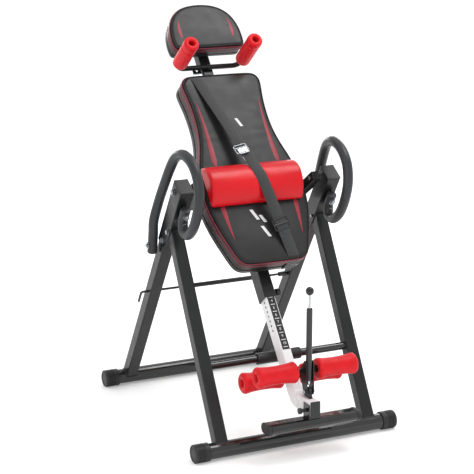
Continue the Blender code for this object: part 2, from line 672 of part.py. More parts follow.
# ------------------------------------------------------------------ ankle rollers
def roller(x0, x1, hole):
    """Dog-bone foam roller: radius 33 mm at the ends falling to 28.5 mm in the middle."""
    mid = (x0 + x1) / 2
    span = (x1 - x0) / 2
    profile = [(x0, hole), (x0, 0.020), (x0 + 0.002, 0.027)]
    for k in range(7):
        u = -1 + 2 * k / 6
        profile.append((mid + u * (span - 0.010), 0.0285 + 0.0045 * u ** 2))
    profile += [(x1 - 0.002, 0.027), (x1, 0.020), (x1, hole)]
    return lathe(profile, n=18, closed=True)


make("rear_bar", *rod_x(-0.158, 0.158, 0, 0, 0.0080), BLACK, REAR_BAR)
make("front_bar", *rod_x(-0.158, 0.158, 0, 0, 0.0080), BLACK, FRONT_BAR)
for side, s in (("left", 1), ("right", -1)):
    ends = (0.034, 0.170) if s > 0 else (-0.170, -0.034)
    make("rear_roller_" + side, *roller(*ends, 0.0083), FOAM, REAR_BAR)
    make("front_roller_" + side, *roller(*ends, 0.0083), FOAM, FRONT_BAR)

# ------------------------------------------------------------------ ankle clamp on the boom's foot
shape = hull2([(0, 0, 0.0145), (-0.016, -0.0190, 0.0006), (0.022, -0.0190, 0.0006)])
v, f = prism(shape, -0.0040, 0.0040)
ratchet = make("ratchet_plate", v, f, BLACK, CLAMP)
teeth = []
for k in range(9):
    a = math.radians(20 + 17 * k)
    teeth.append(rod_x(-0.02, 0.02, 0.0165 * math.cos(a), 0.0165 * math.sin(a), 0.0028, 10))
teeth.append(rod_x(-0.02, 0.02, 0, 0, 0.0043))
drill(ratchet, teeth)
bar = FRONT_BAR - CLAMP
arm_shape = hull2([(0, 0, 0.0120), (bar.y, bar.z, 0.0130), (0.001, 0.088, 0.0100)])
plates = make("clamp_bracket", *prism(arm_shape, -0.0129, 0.0129), BLACK, CLAMP)
drill(plates, [
    slab((-0.0099, -0.060, -0.030), (0.0099, 0.0095, 0.120)),
    slab((-0.0099, -0.060, -0.030), (0.0099, 0.060, 0.040)),
    slab((-0.0099, 0.0, 0.0500), (0.0099, 0.0400, 0.0700)),
    rod_x(-0.03, 0.03, bar.y, bar.z, 0.0083),
    rod_x(-0.03, 0.03, 0, 0, 0.0043),
])
pin = [(-0.0175, 0.0062), (-0.0165, 0.0070), (-0.0132, 0.0070), (-0.0132, 0.0040)]
pin += [(-a, r) for a, r in pin[::-1]]
make("clamp_pin", *lathe(pin, n=14), ZINC, CLAMP)
ring = [(0.0350, 0.0058), (0.0350, 0.0095), (0.2600, 0.0095), (0.2620, 0.0080), (0.2620, 0.0058)]
make("lever_tube", *lathe(ring, axis="z", n=20, closed=True), BLACK, CLAMP)
rod = [(0.0200, 0.0020), (0.0230, 0.0050), (0.2560, 0.0050), (0.2600, 0.0040), (0.3035, 0.0040)]
make("release_rod", *lathe(rod, axis="z", n=16), CHROME, CLAMP)
ball = []
for k in range(9):
    a = math.pi * (0.11 + (1 - 0.11) * k / 8)
    ball.append((0.3160 - 0.0130 * math.cos(a), max(0.0130 * math.sin(a), 0.0005)))
ball = [(0.3038, 0.0043)] + [q for q in ball if q[0] > 0.3041]
make("ball_knob", *lathe(ball, axis="z", n=16), PLASTIC, CLAMP)

# ------------------------------------------------------------------ footrest on its saddle
tread = sweep([(-0.146, 0, 0), (0.146, 0, 0)], stadium(0.058, 0.032), stadium(0.054, 0.028), side=(0, 1, 0))
for side, s in (("left", 1), ("right", -1)):
    line = [(s * 0.1463, 0, 0), (s * 0.1575, 0, 0)]
    v, f = sweep(line, stadium(0.060, 0.034), side=(0, 1, 0))
    soften(make("footrest_cap_" + side, v, f, RUBBER, FOOT), 0.003, 50)
h = 0.0163
under = EXT_Z - 0.025 - GAP - FOOT.z
wing = h + 0.003
shape = [(-wing, 0.0150), (wing, 0.0150), (wing, 0.060), (h, 0.060)]
shape += [(h, under), (-h, under), (-h, 0.060), (-wing, 0.060)]
rest = make("footrest", *tread, BLACK, FOOT)
weld(rest, [plate(shape, -0.018, 0.018, "y")])
drill(rest, [rod_x(-0.04, -0.01, 0, 0.040, 0.0038)])
ring = [(-0.0460, 0.0080), (-0.0450, 0.0095), (-0.0370, 0.0095), (-0.0360, 0.0060)]
ring += [(-0.0197, 0.0060), (-0.0197, 0.0035), (-0.0166, 0.0035)]
make("footrest_pin", *lathe(ring, n=14), PLASTIC, (0, FOOT.y, FOOT.z + 0.040))
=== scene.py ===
"""Inversion table: finishes, cushions, foam, strap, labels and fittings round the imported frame.

Metres, in the model's own frame: +Z up, -Y the user's foot side, +X across.  "Bed coordinates" are
(across, back, up) measured from the bed pivot: up runs to the head, back away from the user.
"""
import json
import math

import bmesh
import bpy
import numpy as np
from mathutils import Matrix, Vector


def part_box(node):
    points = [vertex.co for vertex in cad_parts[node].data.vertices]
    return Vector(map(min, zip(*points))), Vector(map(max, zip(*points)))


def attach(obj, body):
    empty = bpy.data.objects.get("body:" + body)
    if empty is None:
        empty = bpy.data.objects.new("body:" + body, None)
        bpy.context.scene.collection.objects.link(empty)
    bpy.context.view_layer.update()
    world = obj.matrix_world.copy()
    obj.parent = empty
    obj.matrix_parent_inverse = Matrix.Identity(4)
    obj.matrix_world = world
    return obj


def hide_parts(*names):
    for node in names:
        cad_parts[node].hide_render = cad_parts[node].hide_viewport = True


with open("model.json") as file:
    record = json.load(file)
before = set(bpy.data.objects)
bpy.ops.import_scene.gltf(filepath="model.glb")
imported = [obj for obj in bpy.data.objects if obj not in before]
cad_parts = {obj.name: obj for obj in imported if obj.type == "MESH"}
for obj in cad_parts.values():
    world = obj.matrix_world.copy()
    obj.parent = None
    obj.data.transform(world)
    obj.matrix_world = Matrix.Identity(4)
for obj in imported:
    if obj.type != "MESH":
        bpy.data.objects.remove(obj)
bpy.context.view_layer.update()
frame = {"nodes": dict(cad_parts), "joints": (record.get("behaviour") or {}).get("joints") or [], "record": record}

JOINT = {j["name"]: j for j in frame["joints"]}
PIVOT = np.array(JOINT["bed_tilt"]["pos_m"], float)
UP = np.array(JOINT["headrest_height"]["axis"], float)
UP /= np.linalg.norm(UP)
ACROSS = np.array((1.0, 0.0, 0.0))
BACK = np.cross(UP, ACROSS)
REAR_TILT = math.radians(32.12)     # rear legs and pivot boxes
FRONT_TILT = math.radians(-29.44)
SIDES = (("left", 1.0), ("right", -1.0))


# ---------------------------------------------------------------- coordinates
def bed(points):
    """Bed coordinates to the model's frame: pivot + across, back and up times their axes."""
    p = np.asarray(points, float)
    return PIVOT + p[..., 0:1] * ACROSS + p[..., 1:2] * BACK + p[..., 2:3] * UP


def from_bed(points):
    """The model's frame to bed coordinates: the offset from the pivot measured along each bed axis."""
    q = np.asarray(points, float) - PIVOT
    return np.stack([q @ ACROSS, q @ BACK, q @ UP], axis=-1)


def coordinates(obj):
    """All of an object's points as an array."""
    flat = np.empty(len(obj.data.vertices) * 3)
    obj.data.vertices.foreach_get("co", flat)
    return flat.reshape(-1, 3)


# ---------------------------------------------------------------- curves and grids
def spline(points, steps):
    """Catmull-Rom curve: every span is the cubic through its two ends whose slopes there are half the
    chord between the neighbouring points."""
    p = np.asarray(points, float)
    ext = np.vstack([2 * p[:1] - p[1:2], p, 2 * p[-1:] - p[-2:-1]])
    spans = len(ext) - 3
    t = np.linspace(0, 1, steps, endpoint=False)[None, :, None]
    a, b, c, d = (ext[i:i + spans, None] for i in range(4))
    out = 0.5 * (2 * b + (c - a) * t + (2 * a - 5 * b + 4 * c - d) * t ** 2
                 + (3 * b - a - 3 * c + d) * t ** 3)
    return np.vstack([out.reshape(-1, p.shape[1]), p[-1:]])


def cut_corners(points, rounds):
    """Closed outline smoothed by corner cutting: each side keeps the points a quarter in from its ends."""
    p = np.asarray(points, float)
    for _ in range(rounds):
        q = np.roll(p, -1, axis=0)
        p = np.stack([0.75 * p + 0.25 * q, 0.25 * p + 0.75 * q], axis=1).reshape(-1, p.shape[1])
    return p


def even(points, n, closed=True):
    """The same line walked in n equal steps of arc length."""
    p = np.vstack([points, points[:1]]) if closed else np.asarray(points, float)
    s = np.concatenate([[0], np.cumsum(np.linalg.norm(np.diff(p, axis=0), axis=1))])
    t = np.linspace(0, s[-1], n + 1)[:-1] if closed else np.linspace(0, s[-1], n)
    return np.stack([np.interp(t, s, p[:, k]) for k in range(p.shape[1])], axis=1)


def inward(outline, d):
    """A closed outline moved by d along its inward normal: the tangent between neighbours, turned a
    quarter."""
    t = np.roll(outline, -1, axis=0) - np.roll(outline, 1, axis=0)
    t /= np.linalg.norm(t, axis=1)[:, None]
    x, y = outline.T
    turn = 1.0 if np.sum(x * np.roll(y, -1) - y * np.roll(x, -1)) > 0 else -1.0
    return outline + turn * d * np.stack([-t[:, 1], t[:, 0]], axis=1)


def ring(r, n):
    """A circle of radius r as n points."""
    a = np.linspace(0, 2 * np.pi, n, endpoint=False)
    return r * np.stack([np.cos(a), np.sin(a)], axis=1)


def rectangle(w, d, r, n=4):
    """Outline of a w by d rectangle: four quarter circles of radius r about the inner corners."""
    a = (np.arange(4)[:, None] + np.linspace(0, 1, n + 1)[None]) * np.pi / 2
    sx = np.array([1, -1, -1, 1])[:, None]
    sy = np.array([1, 1, -1, -1])[:, None]
    corners = np.stack([sx * (w / 2 - r) + r * np.cos(a), sy * (d / 2 - r) + r * np.sin(a)], axis=-1)
    return corners.reshape(-1, 2)


def layers(rows):
    """Grid in bed coordinates from rows of (outline, depth), each outline given as (across, up)."""
    return np.array([np.column_stack([p[:, 0], np.full(len(p), y), p[:, 1]]) for p, y in rows])


def carried(path, section, side=(1, 0, 0), closed=False):
    """Grid of a section carried along a path.  At each path point the section's first axis is 'side' made
    square to the path, and its second axis is the tangent crossed with the first.  A section may be
    (m, 2), the same all along, or (n, m, 2), one for each path point."""
    path = np.asarray(path, float)
    if closed:
        t = np.roll(path, -1, axis=0) - np.roll(path, 1, axis=0)
    else:
        t = np.gradient(path, axis=0)
    t /= np.linalg.norm(t, axis=1)[:, None]
    side = np.broadcast_to(np.asarray(side, float), path.shape)
    a = side - t * np.sum(side * t, axis=1)[:, None]
    a /= np.linalg.norm(a, axis=1)[:, None]
    b = np.cross(t, a)
    section = np.broadcast_to(section, (len(path),) + np.shape(section)[-2:])
    return path[:, None] + a[:, None] * section[..., 0:1] + b[:, None] * section[..., 1:2]


def turned(profile, at, axis=(1, 0, 0), n=48, shape=None):
    """Grid of a profile turned about an axis through 'at': each (along, radius) becomes a circle, whose
    radius may be multiplied by shape(angle, row) for hexagons and ribs."""
    profile = np.asarray(profile, float)
    axis = np.asarray(axis, float) / np.linalg.norm(axis)
    first = np.cross(axis, (0, 0, 1) if abs(axis[2]) < 0.9 else (0, 1, 0))
    first /= np.linalg.norm(first)
    second = np.cross(axis, first)
    angle = np.linspace(0, 2 * np.pi, n, endpoint=False)[None, :]
    r = profile[:, 1:2] * np.ones_like(angle)
    if shape is not None:
        r = r * shape(angle, np.arange(len(profile))[:, None])
    ringed = np.cos(angle)[..., None] * first + np.sin(angle)[..., None] * second
    return np.asarray(at, float) + profile[:, None, 0:1] * axis + r[..., None] * ringed


def grid_faces(rows, cols, wrap_rows, first):
    """Faces of a grid of points whose rows are closed loops: quads between neighbours, and a flat face on
    the first and last row unless these join up too."""
    i = np.arange(rows if wrap_rows else rows - 1)[:, None]
    j = np.arange(cols)[None, :]
    i2, j2 = (i + 1) % rows, (j + 1) % cols
    quads = np.stack([i * cols + j, i * cols + j2, i2 * cols + j2, i2 * cols + j], axis=-1)
    faces = (quads.reshape(-1, 4) + first).tolist()
    if not wrap_rows:
        faces.append((np.arange(cols)[::-1] + first).tolist())
        faces.append((np.arange(cols) + (rows - 1) * cols + first).tolist())
    return faces


def piece(name, grids, material, body, sharp=32, uv=None, wrap_rows=False):
    """One named mesh from one or more grids of points, closed, facing outward, riding on a body.
    uv may be a (rows, columns, 2) array for a single grid, in metres along the surface."""
    grids = grids if isinstance(grids, list) else [grids]
    points, faces, first = [], [], 0
    for g in grids:
        rows, cols = g.shape[:2]
        faces += grid_faces(rows, cols, wrap_rows, first)
        points.append(g.reshape(-1, 3))
        first += rows * cols
    mesh = bpy.data.meshes.new(name)
    mesh.from_pydata(np.vstack(points).tolist(), [], faces)
    if uv is not None:
        corners = np.empty(len(mesh.loops), int)
        mesh.loops.foreach_get("vertex_index", corners)
        layer = mesh.uv_layers.new(name="surface")
        layer.data.foreach_set("uv", uv.reshape(-1, 2)[corners].astype(np.float32).ravel())
    bm = bmesh.new()
    bm.from_mesh(mesh)
    bmesh.ops.remove_doubles(bm, verts=bm.verts, dist=1e-7)
    bmesh.ops.recalc_face_normals(bm, faces=bm.faces)
    bm.to_mesh(mesh)
    bm.free()
    mesh.shade_smooth()
    mesh.set_sharp_from_angle(angle=math.radians(sharp))
    obj = bpy.data.objects.new(name, mesh)
    bpy.context.scene.collection.objects.link(obj)
    mesh.materials.append(material)
    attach(obj, body)
    return obj


# ---------------------------------------------------------------- materials
def srgb(code):
    """#rrggbb as linear RGBA."""
    c = np.array([int(code[i:i + 2], 16) for i in (1, 3, 5)]) / 255
    linear = np.where(c <= 0.04045, c / 12.92, ((c + 0.055) / 1.055) ** 2.4)
    return (*(float(x) for x in linear), 1.0)


def put(tree, kind, inputs=None, **settings):
    """Adds one node with its settings, and its inputs as values or as (node, output) links."""
    made = tree.nodes.new(kind)
    for key, value in settings.items():
        setattr(made, key, value)
    for key, value in (inputs or {}).items():
        if isinstance(value, tuple) and isinstance(value[0], bpy.types.Node):
            tree.links.new(value[0].outputs[value[1]], made.inputs[key])
        else:
            made.inputs[key].default_value = value
    return made


def shader(name, **sockets):
    """A material with one Principled shader; sockets are given with underscores for spaces."""
    m = bpy.data.materials.new(name)
    m.use_nodes = True
    bsdf = m.node_tree.nodes["Principled BSDF"]
    for key, value in sockets.items():
        bsdf.inputs[key.replace("_", " ")].default_value = value
    return m, m.node_tree, bsdf


def drive(tree, bsdf, key, source):
    """Links a node's output to one of the shader's sockets."""
    tree.links.new(source[0].outputs[source[1]], bsdf.inputs[key])


def cloudy(tree, place, cell, detail):
    """Noise whose patches are about 'cell' metres across."""
    return put(tree, "ShaderNodeTexNoise", {"Vector": place, "Scale": 1 / cell, "Detail": detail}), 0


def varied(tree, place, cell, low, high, detail):
    """A value that wanders between low and high over patches of about 'cell' metres."""
    return put(tree, "ShaderNodeMapRange", {"Value": cloudy(tree, place, cell, detail), "From Min": 0.3,
                                            "From Max": 0.7, "To Min": low, "To Max": high})


def tinted(tree, place, cell, dark, light, detail):
    """A colour that wanders between two over patches of about 'cell' metres."""
    steps = put(tree, "ShaderNodeMapRange", {"Value": cloudy(tree, place, cell, detail),
                                             "From Min": 0.32, "From Max": 0.68})
    return put(tree, "ShaderNodeMix", {0: (steps, 0), 6: srgb(dark), 7: srgb(light)}, data_type="RGBA")


def relief(tree, place, cell, kind, strength, distance, under=None):
    """A bump of about 'cell' metres: noise where kind is its detail, or else cells of that Voronoi
    feature, the smooth ones pressed in.  It may lie over a slower bump."""
    if isinstance(kind, str):
        inputs = {"Vector": place, "Scale": 1 / cell}
        height = put(tree, "ShaderNodeTexVoronoi", inputs, feature=kind), 0
    else:
        height = cloudy(tree, place, cell, kind)
    inputs = {"Height": height, "Strength": strength, "Distance": distance}
    if under:
        inputs["Normal"] = (under, 0)
    return put(tree, "ShaderNodeBump", inputs, invert=kind == "SMOOTH_F1")


def surface(name, colour, rough, grain, swell=None, stretch=None, **sockets):
    """A material in object coordinates, which may be stretched.  colour and rough are the arguments of
    tinted() and varied(), grain those of relief(), and swell those of a slower relief under it."""
    m, tree, bsdf = shader(name, **sockets)
    place = (put(tree, "ShaderNodeTexCoord"), "Object")
    if stretch:
        place = (put(tree, "ShaderNodeMapping", {"Vector": place, "Scale": stretch}), 0)
    drive(tree, bsdf, "Base Color", (tinted(tree, place, *colour), 2))
    if rough:
        drive(tree, bsdf, "Roughness", (varied(tree, place, *rough), 0))
    under = relief(tree, place, *swell) if swell else None
    drive(tree, bsdf, "Normal", (relief(tree, place, *grain, under), 0))
    return m


def powder_coat(name, dark, light, rough, peel=0.0022, shine=0.34):
    """Polyester powder coat baked on steel: satin, with the soft orange peel of melted powder about 2 mm
    across, which breaks long highlights a little, and fine scuffs that are slightly duller."""
    return surface(name, (0.09, dark, light, 3.0), (0.030, rough - 0.05, rough + 0.07, 6.0),
                   (peel, 2.0, 0.16, 0.0004), IOR=1.5, Specular_IOR_Level=shine)


def leatherette(name, dark, light, rough, coat, grain=0.0015):
    """PVC leatherette calendered over knit: smooth and glossy, with a shallow pebble grain about 1.5 mm
    across pressed into it and slow stretch marks, so the sheen stays broad."""
    return surface(name, (0.12, dark, light, 2.0), (0.040, rough - 0.04, rough + 0.06, 3.0),
                   (grain, "SMOOTH_F1", 0.14, 0.0003), (0.055, 1.0, 0.30, 0.0016), IOR=1.5,
                   Specular_IOR_Level=0.26, Coat_Weight=coat, Coat_Roughness=0.22, Coat_IOR=1.4)


def foam_skin(name, dark, light):
    """Closed-cell NBR foam with its moulded skin: soft satin, tiny pores about 0.8 mm apart that catch the
    light as a faint stipple, and a slightly deeper colour where the skin is thin."""
    return surface(name, (0.020, dark, light, 4.0), (0.015, 0.40, 0.54, 3.0),
                   (0.0008, "F1", 0.22, 0.0002), (0.008, 2.0, 0.20, 0.0007), IOR=1.45,
                   Specular_IOR_Level=0.30, Sheen_Weight=0.04, Sheen_Roughness=0.5)


def webbing(name, dark, light):
    """Polypropylene webbing: matt woven ribs.  Threads are 1.6 mm apart across and 2.2 mm along, drawn as
    the product of two crossed sine waves, and the colour follows that height: painted shade in the hollows
    between threads and a painted highlight on the high threads."""
    m, tree, bsdf = shader(name, Roughness=0.78, IOR=1.48, Sheen_Weight=0.25, Sheen_Roughness=0.6)
    uv = put(tree, "ShaderNodeUVMap", uv_map="surface")
    parts = put(tree, "ShaderNodeSeparateXYZ", {0: (uv, 0)})

    def wave(axis, period):
        turns = put(tree, "ShaderNodeMath", {0: (parts, axis), 1: 2 * math.pi / period},
                    operation="MULTIPLY")
        return put(tree, "ShaderNodeMath", {0: (turns, 0)}, operation="SINE"), 0
    both = put(tree, "ShaderNodeMath", {0: wave(0, 0.0016), 1: wave(1, 0.0022)}, operation="MULTIPLY")
    height = put(tree, "ShaderNodeMapRange", {"Value": (both, 0), "From Min": -1.0, "From Max": 1.0})
    # colour follows the weave's height: painted shade in the hollows, painted highlight on the high threads
    mix = put(tree, "ShaderNodeMix", {0: (height, 0), 6: srgb(dark), 7: srgb(light)}, data_type="RGBA")
    drive(tree, bsdf, "Base Color", (mix, 2))
    bump = put(tree, "ShaderNodeBump", {"Height": (height, 0), "Strength": 0.55, "Distance": 0.0004})
    drive(tree, bsdf, "Normal", (bump, 0))
    return m


def moulded(name, dark, light, rough, grit=0.0009, strength=0.18):
    """Moulded plastic or rubber: an even spark-eroded texture about 1 mm across, and slow patches where the
    part has been handled and is a little shinier."""
    return surface(name, (0.030, dark, light, 3.0), (0.020, rough - 0.06, rough + 0.06, 3.0),
                   (grit, 3.0, strength, 0.0003), IOR=1.49)


def plated(name, dark, light, rough):
    """Plated steel: bright metal with a faint cloudiness and a fine grain 0.4 mm across."""
    return surface(name, (0.012, dark, light, 3.0), (0.004, rough - 0.03, rough + 0.08, 3.0),
                   (0.0004, 2.0, 0.06, 0.0001), Metallic=1.0)


def plywood(name):
    """Rotary-cut birch plywood: pale grain drawn out six to eight times along the sheet, with darker late
    wood and a dry matt surface."""
    return surface(name, (0.006, "#8f6c44", "#bd9566", 6.0), None, (0.0012, 3.0, 0.3, 0.0003),
                   stretch=(1.0, 0.16, 0.12), Roughness=0.72, IOR=1.5)


BLACK_COAT = powder_coat("black_satin_powder_coat", "#141516", "#1a1b1c", 0.30)
HANDLE_COAT = powder_coat("handle_soft_grey_powder_coat", "#2a2b2d", "#323335", 0.36, 0.0016)
GLOSS_COAT = powder_coat("black_gloss_powder_coat", "#141516", "#191a1b", 0.12, 0.004, 0.6)
WHITE_COAT = powder_coat("white_gloss_powder_coat", "#e4e5e7", "#e8e9ea", 0.26, 0.004)
BLACK_VINYL = leatherette("black_pvc_leatherette", "#1c1c1d", "#232324", 0.38, 0.10)
ROSE_VINYL = leatherette("rose_pvc_piping", "#78303b", "#883a45", 0.40, 0.08, 0.0010)
# the welt cord is real, but its vinyl is darker than the pad's: painted shade of the gap round the face's edge
WELT_SHADE_VINYL = leatherette("black_pvc_welt_painted_shade", "#0c0c0d", "#121213", 0.42, 0.10, 0.0010)
RED_VINYL = leatherette("red_pvc_leatherette", "#c10312", "#cf0616", 0.34, 0.16)
PIPING_VINYL = leatherette("dusky_red_pvc_band", "#451720", "#501d26", 0.40, 0.08, 0.0010)
STRIPE_VINYL = leatherette("rose_red_pvc_inlay", "#83202c", "#952a36", 0.38, 0.15, 0.0010)
RED_FOAM = foam_skin("red_nbr_foam_skin", "#c40310", "#d20616")
WEBBING = webbing("charcoal_polypropylene_webbing", "#131415", "#262729")
RUBBER = moulded("black_moulded_rubber", "#111112", "#171718", 0.52)
PLASTIC = moulded("black_moulded_nylon", "#131415", "#1a1b1c", 0.36)
GLOSS_BALL = moulded("black_polished_phenolic", "#101011", "#151516", 0.12, 0.003, 0.02)
CHROME = plated("chrome_plated_steel", "#aeb0b3", "#c6c8ca", 0.12)
ZINC = plated("zinc_plated_steel", "#84878b", "#a0a3a7", 0.24)
PLYWOOD = plywood("birch_plywood")
PRINT_WHITE = moulded("white_screen_print_ink", "#d6d7d8", "#e0e0e0", 0.45, 0.0012, 0.05)
LABEL_BLACK = moulded("black_label_film", "#08080a", "#0d0d0f", 0.45, 0.002, 0.04)
# near black: painted shade standing in for the inside of a hole, not the colour of the steel
HOLE_SHADE = moulded("painted_shade_in_hole", "#0b0b0c", "#111112", 0.60)
WELD = powder_coat("black_coat_over_weld", "#222325", "#2a2b2d", 0.34, 0.0016)

FINISH = {"black_steel": BLACK_COAT, "handle_coating": HANDLE_COAT, "white_steel": WHITE_COAT,
          "chrome": CHROME, "zinc": ZINC, "black_plastic": PLASTIC, "black_rubber": RUBBER,
          "black_vinyl": BLACK_VINYL, "red_vinyl": RED_VINYL, "red_foam": RED_FOAM, "webbing": WEBBING,
          "plywood": PLYWOOD}
for part in frame["record"]["subparts"]:
    mesh = frame["nodes"][part["node"]].data
    mesh.materials.clear()
    mesh.materials.append(FINISH[part["material_slot"]])
for node in ("lever_tube", "rear_base_tube", "front_base_tube", "crossbar", "stop_rod", "footrest"):
    frame["nodes"][node].data.materials[0] = GLOSS_COAT
frame["nodes"]["ball_knob"].data.materials[0] = GLOSS_BALL


# ---------------------------------------------------------------- camera, floor and light
def aim(obj, at, target):
    """Places an object at a point and turns its -Z axis to the target, its Y axis upward."""
    at, target = np.asarray(at, float), np.asarray(target, float)
    z = (at - target) / np.linalg.norm(at - target)
    x = np.cross((0, 0, 1), z)
    x /= np.linalg.norm(x)
    y = np.cross(z, x)
    obj.matrix_world = Matrix(np.vstack([np.column_stack([x, y, z, at]), [0, 0, 0, 1]]).tolist())


def softbox(name, at, target, wide, tall, watts):
    """A rectangular area light facing the target."""
    lamp = bpy.data.lights.new(name, "AREA")
    lamp.shape = "RECTANGLE"
    lamp.size = wide
    lamp.size_y = tall
    lamp.energy = watts
    obj = bpy.data.objects.new(name, lamp)
    bpy.context.scene.collection.objects.link(obj)
    aim(obj, at, target)


camera = bpy.data.objects.new("camera", bpy.data.cameras.new("camera"))
bpy.context.scene.collection.objects.link(camera)
camera.data.lens = 116.5
camera.data.sensor_width = 36.0
aim(camera, (-2.093, -4.276, 1.795), (-0.023, 0.0505, 0.581))
bpy.context.scene.camera = camera
bpy.context.scene.view_settings.view_transform = "Standard"

MIDDLE = (0.0, 0.0, 0.65)
softbox("key_light", (1.25, -0.55, 3.7), MIDDLE, 1.5, 1.5, 46)
softbox("fill_light", (-3.2, -2.6, 1.7), MIDDLE, 1.6, 1.6, 20)
softbox("strip_light", (0.5, 3.8, 1.3), MIDDLE, 4.0, 0.4, 36)
softbox("rim_light", (2.6, 2.4, 1.8), MIDDLE, 1.2, 1.2, 18)

world = bpy.data.worlds.new("studio")
world.use_nodes = True
world.node_tree.nodes["Background"].inputs[0].default_value = (1.0, 1.0, 1.0, 1.0)
world.node_tree.nodes["Background"].inputs[1].default_value = 1.0
bpy.context.scene.world = world

floor_mesh = bpy.data.meshes.new("floor")
floor_mesh.from_pydata([(-30, -30, 0), (30, -30, 0), (30, 30, 0), (-30, 30, 0)], [], [(0, 1, 2, 3)])
floor = bpy.data.objects.new("floor", floor_mesh)
bpy.context.scene.collection.objects.link(floor)
floor_paint, _, _ = shader("pale_studio_floor", Base_Color=(0.90, 0.90, 0.90, 1.0), Roughness=0.9,
                           Emission_Color=(1.0, 1.0, 1.0, 1.0), Emission_Strength=0.18)
floor_mesh.materials.append(floor_paint)


# ---------------------------------------------------------------- cushions
def stuffed(outline, front, back, rim, drop, crown):
    """A pad's closed form in bed coordinates.  Rings of its outline run from the middle of the back out to
    the edge, up the side wall, over the rim as a quarter ellipse 'rim' wide and 'drop' deep, and on to
    the middle of the face, which rises by 'crown' as one minus the square of the way out."""
    spine = outline.mean(axis=0)
    rows = []
    for k in np.linspace(0.02, 0.92, 6):
        rows.append((spine + (inward(outline, 0.004) - spine) * k, back))
    rows.append((inward(outline, 0.003), back))
    for y in np.linspace(back - 0.002, front + drop, 8):
        rows.append((outline, y))
    for a in np.linspace(0.15, 1.0, 7) * np.pi / 2:
        rows.append((inward(outline, rim * (1 - np.cos(a))), front + drop * (1 - np.sin(a))))
    edge = inward(outline, rim)
    for k in np.linspace(0.94, 0.02, 16):
        rows.append((spine + (edge - spine) * k, front - crown * (1 - k ** 2)))
    return layers(rows)


def swap_mesh(obj, mesh):
    """Gives an object a new mesh with its old material."""
    material = obj.data.materials[0]
    old = obj.data
    obj.data = mesh
    mesh.materials.clear()
    mesh.materials.append(material)
    bpy.data.meshes.remove(old)


def evaluated(obj):
    """The object's mesh with its modifiers applied."""
    return bpy.data.meshes.new_from_object(obj.evaluated_get(bpy.context.evaluated_depsgraph_get()))


CLOTH_FRAMES = 20


def inflate(obj, held, voxel, pressure, cap):
    """Remeshes a cushion evenly, blows it up as cloth under pressure with some points held, limits how far
    a point may move, then smooths it with one subdivision.  held(points) says which points stay put."""
    remesh = obj.modifiers.new("even", "REMESH")
    remesh.mode = "VOXEL"
    remesh.voxel_size = voxel
    mesh = evaluated(obj)
    obj.modifiers.clear()
    swap_mesh(obj, mesh)
    rest = coordinates(obj)
    pins = obj.vertex_groups.new(name="held")
    pins.add(np.nonzero(held(from_bed(rest)))[0].tolist(), 1.0, "REPLACE")
    cloth = obj.modifiers.new("fill", "CLOTH")
    cloth.settings.quality = 4
    cloth.settings.mass = 0.25
    cloth.settings.tension_stiffness = 15
    cloth.settings.compression_stiffness = 4
    cloth.settings.bending_stiffness = 14
    cloth.settings.use_pressure = True
    cloth.settings.uniform_pressure_force = pressure
    cloth.settings.vertex_group_mass = "held"
    cloth.settings.effector_weights.gravity = 0
    cloth.point_cache.frame_start = 1
    cloth.point_cache.frame_end = CLOTH_FRAMES
    scene = bpy.context.scene
    for step in range(1, CLOTH_FRAMES + 1):
        scene.frame_set(step)
    mesh = evaluated(obj)
    obj.modifiers.clear()
    obj.vertex_groups.clear()
    swap_mesh(obj, mesh)
    scene.frame_set(1)
    moved = coordinates(obj) - rest
    far = np.linalg.norm(moved, axis=1)
    moved *= (np.minimum(far, cap) / np.maximum(far, 1e-9))[:, None]
    obj.data.vertices.foreach_set("co", (rest + moved).ravel())
    smooth = obj.modifiers.new("smooth", "SUBSURF")
    smooth.levels = 1
    smooth.render_levels = 1
    mesh = evaluated(obj)
    obj.modifiers.clear()
    swap_mesh(obj, mesh)
    obj.data.shade_smooth()
    return obj


def face_points(obj):
    """Bed coordinates of the points on a cushion's user side, where the surface faces forward."""
    normals = np.empty(len(obj.data.vertices) * 3)
    obj.data.vertices.foreach_get("normal", normals)
    front = normals.reshape(-1, 3) @ BACK < -0.15
    return from_bed(coordinates(obj))[front]


def depth_at(points, x, z, reach=0.004):
    """How far back a cushion's face lies at each (x, z): the mean depth of its points there, each weighted
    by a bell curve of its distance with spread 'reach'.  Infinite where no point is near."""
    x, z = np.broadcast_arrays(x, z)
    out = np.empty(x.size)
    for i in range(0, x.size, 200):
        dx = x.ravel()[i:i + 200, None] - points[None, :, 0]
        dz = z.ravel()[i:i + 200, None] - points[None, :, 2]
        w = np.exp(-(dx ** 2 + dz ** 2) / (2 * reach ** 2))
        total = w.sum(axis=1)
        out[i:i + 200] = np.where(total > 0.05, (w @ points[:, 1]) / np.maximum(total, 1e-9), np.inf)
    return out.reshape(x.shape)


# right halves of the pads' outlines, (across, up), from the lower edge to the upper one
PAD_HALF = [(0, -0.262), (0.075, -0.262), (0.104, -0.258), (0.122, -0.240), (0.138, -0.195),
            (0.160, -0.130), (0.176, -0.055), (0.176, 0.015), (0.162, 0.085), (0.142, 0.145),
            (0.130, 0.200), (0.127, 0.260), (0.131, 0.320), (0.138, 0.362), (0.139, 0.388),
            (0.124, 0.408), (0.098, 0.413), (0, 0.413)]
HEAD_HALF = [(0, 0.516), (0.085, 0.516), (0.115, 0.516), (0.124, 0.523), (0.127, 0.548),
             (0.125, 0.583), (0.116, 0.618), (0.096, 0.650), (0.058, 0.675), (0, 0.683)]


def both_halves(half, rounds):
    """A right half outline and its mirror image as one closed smooth outline."""
    return cut_corners(half + [(-x, z) for x, z in half[-2:0:-1]], rounds)


PAD_OUTLINE = even(both_halves(PAD_HALF, 3), 220)
HEAD_OUTLINE = even(both_halves(HEAD_HALF, 4), 150)
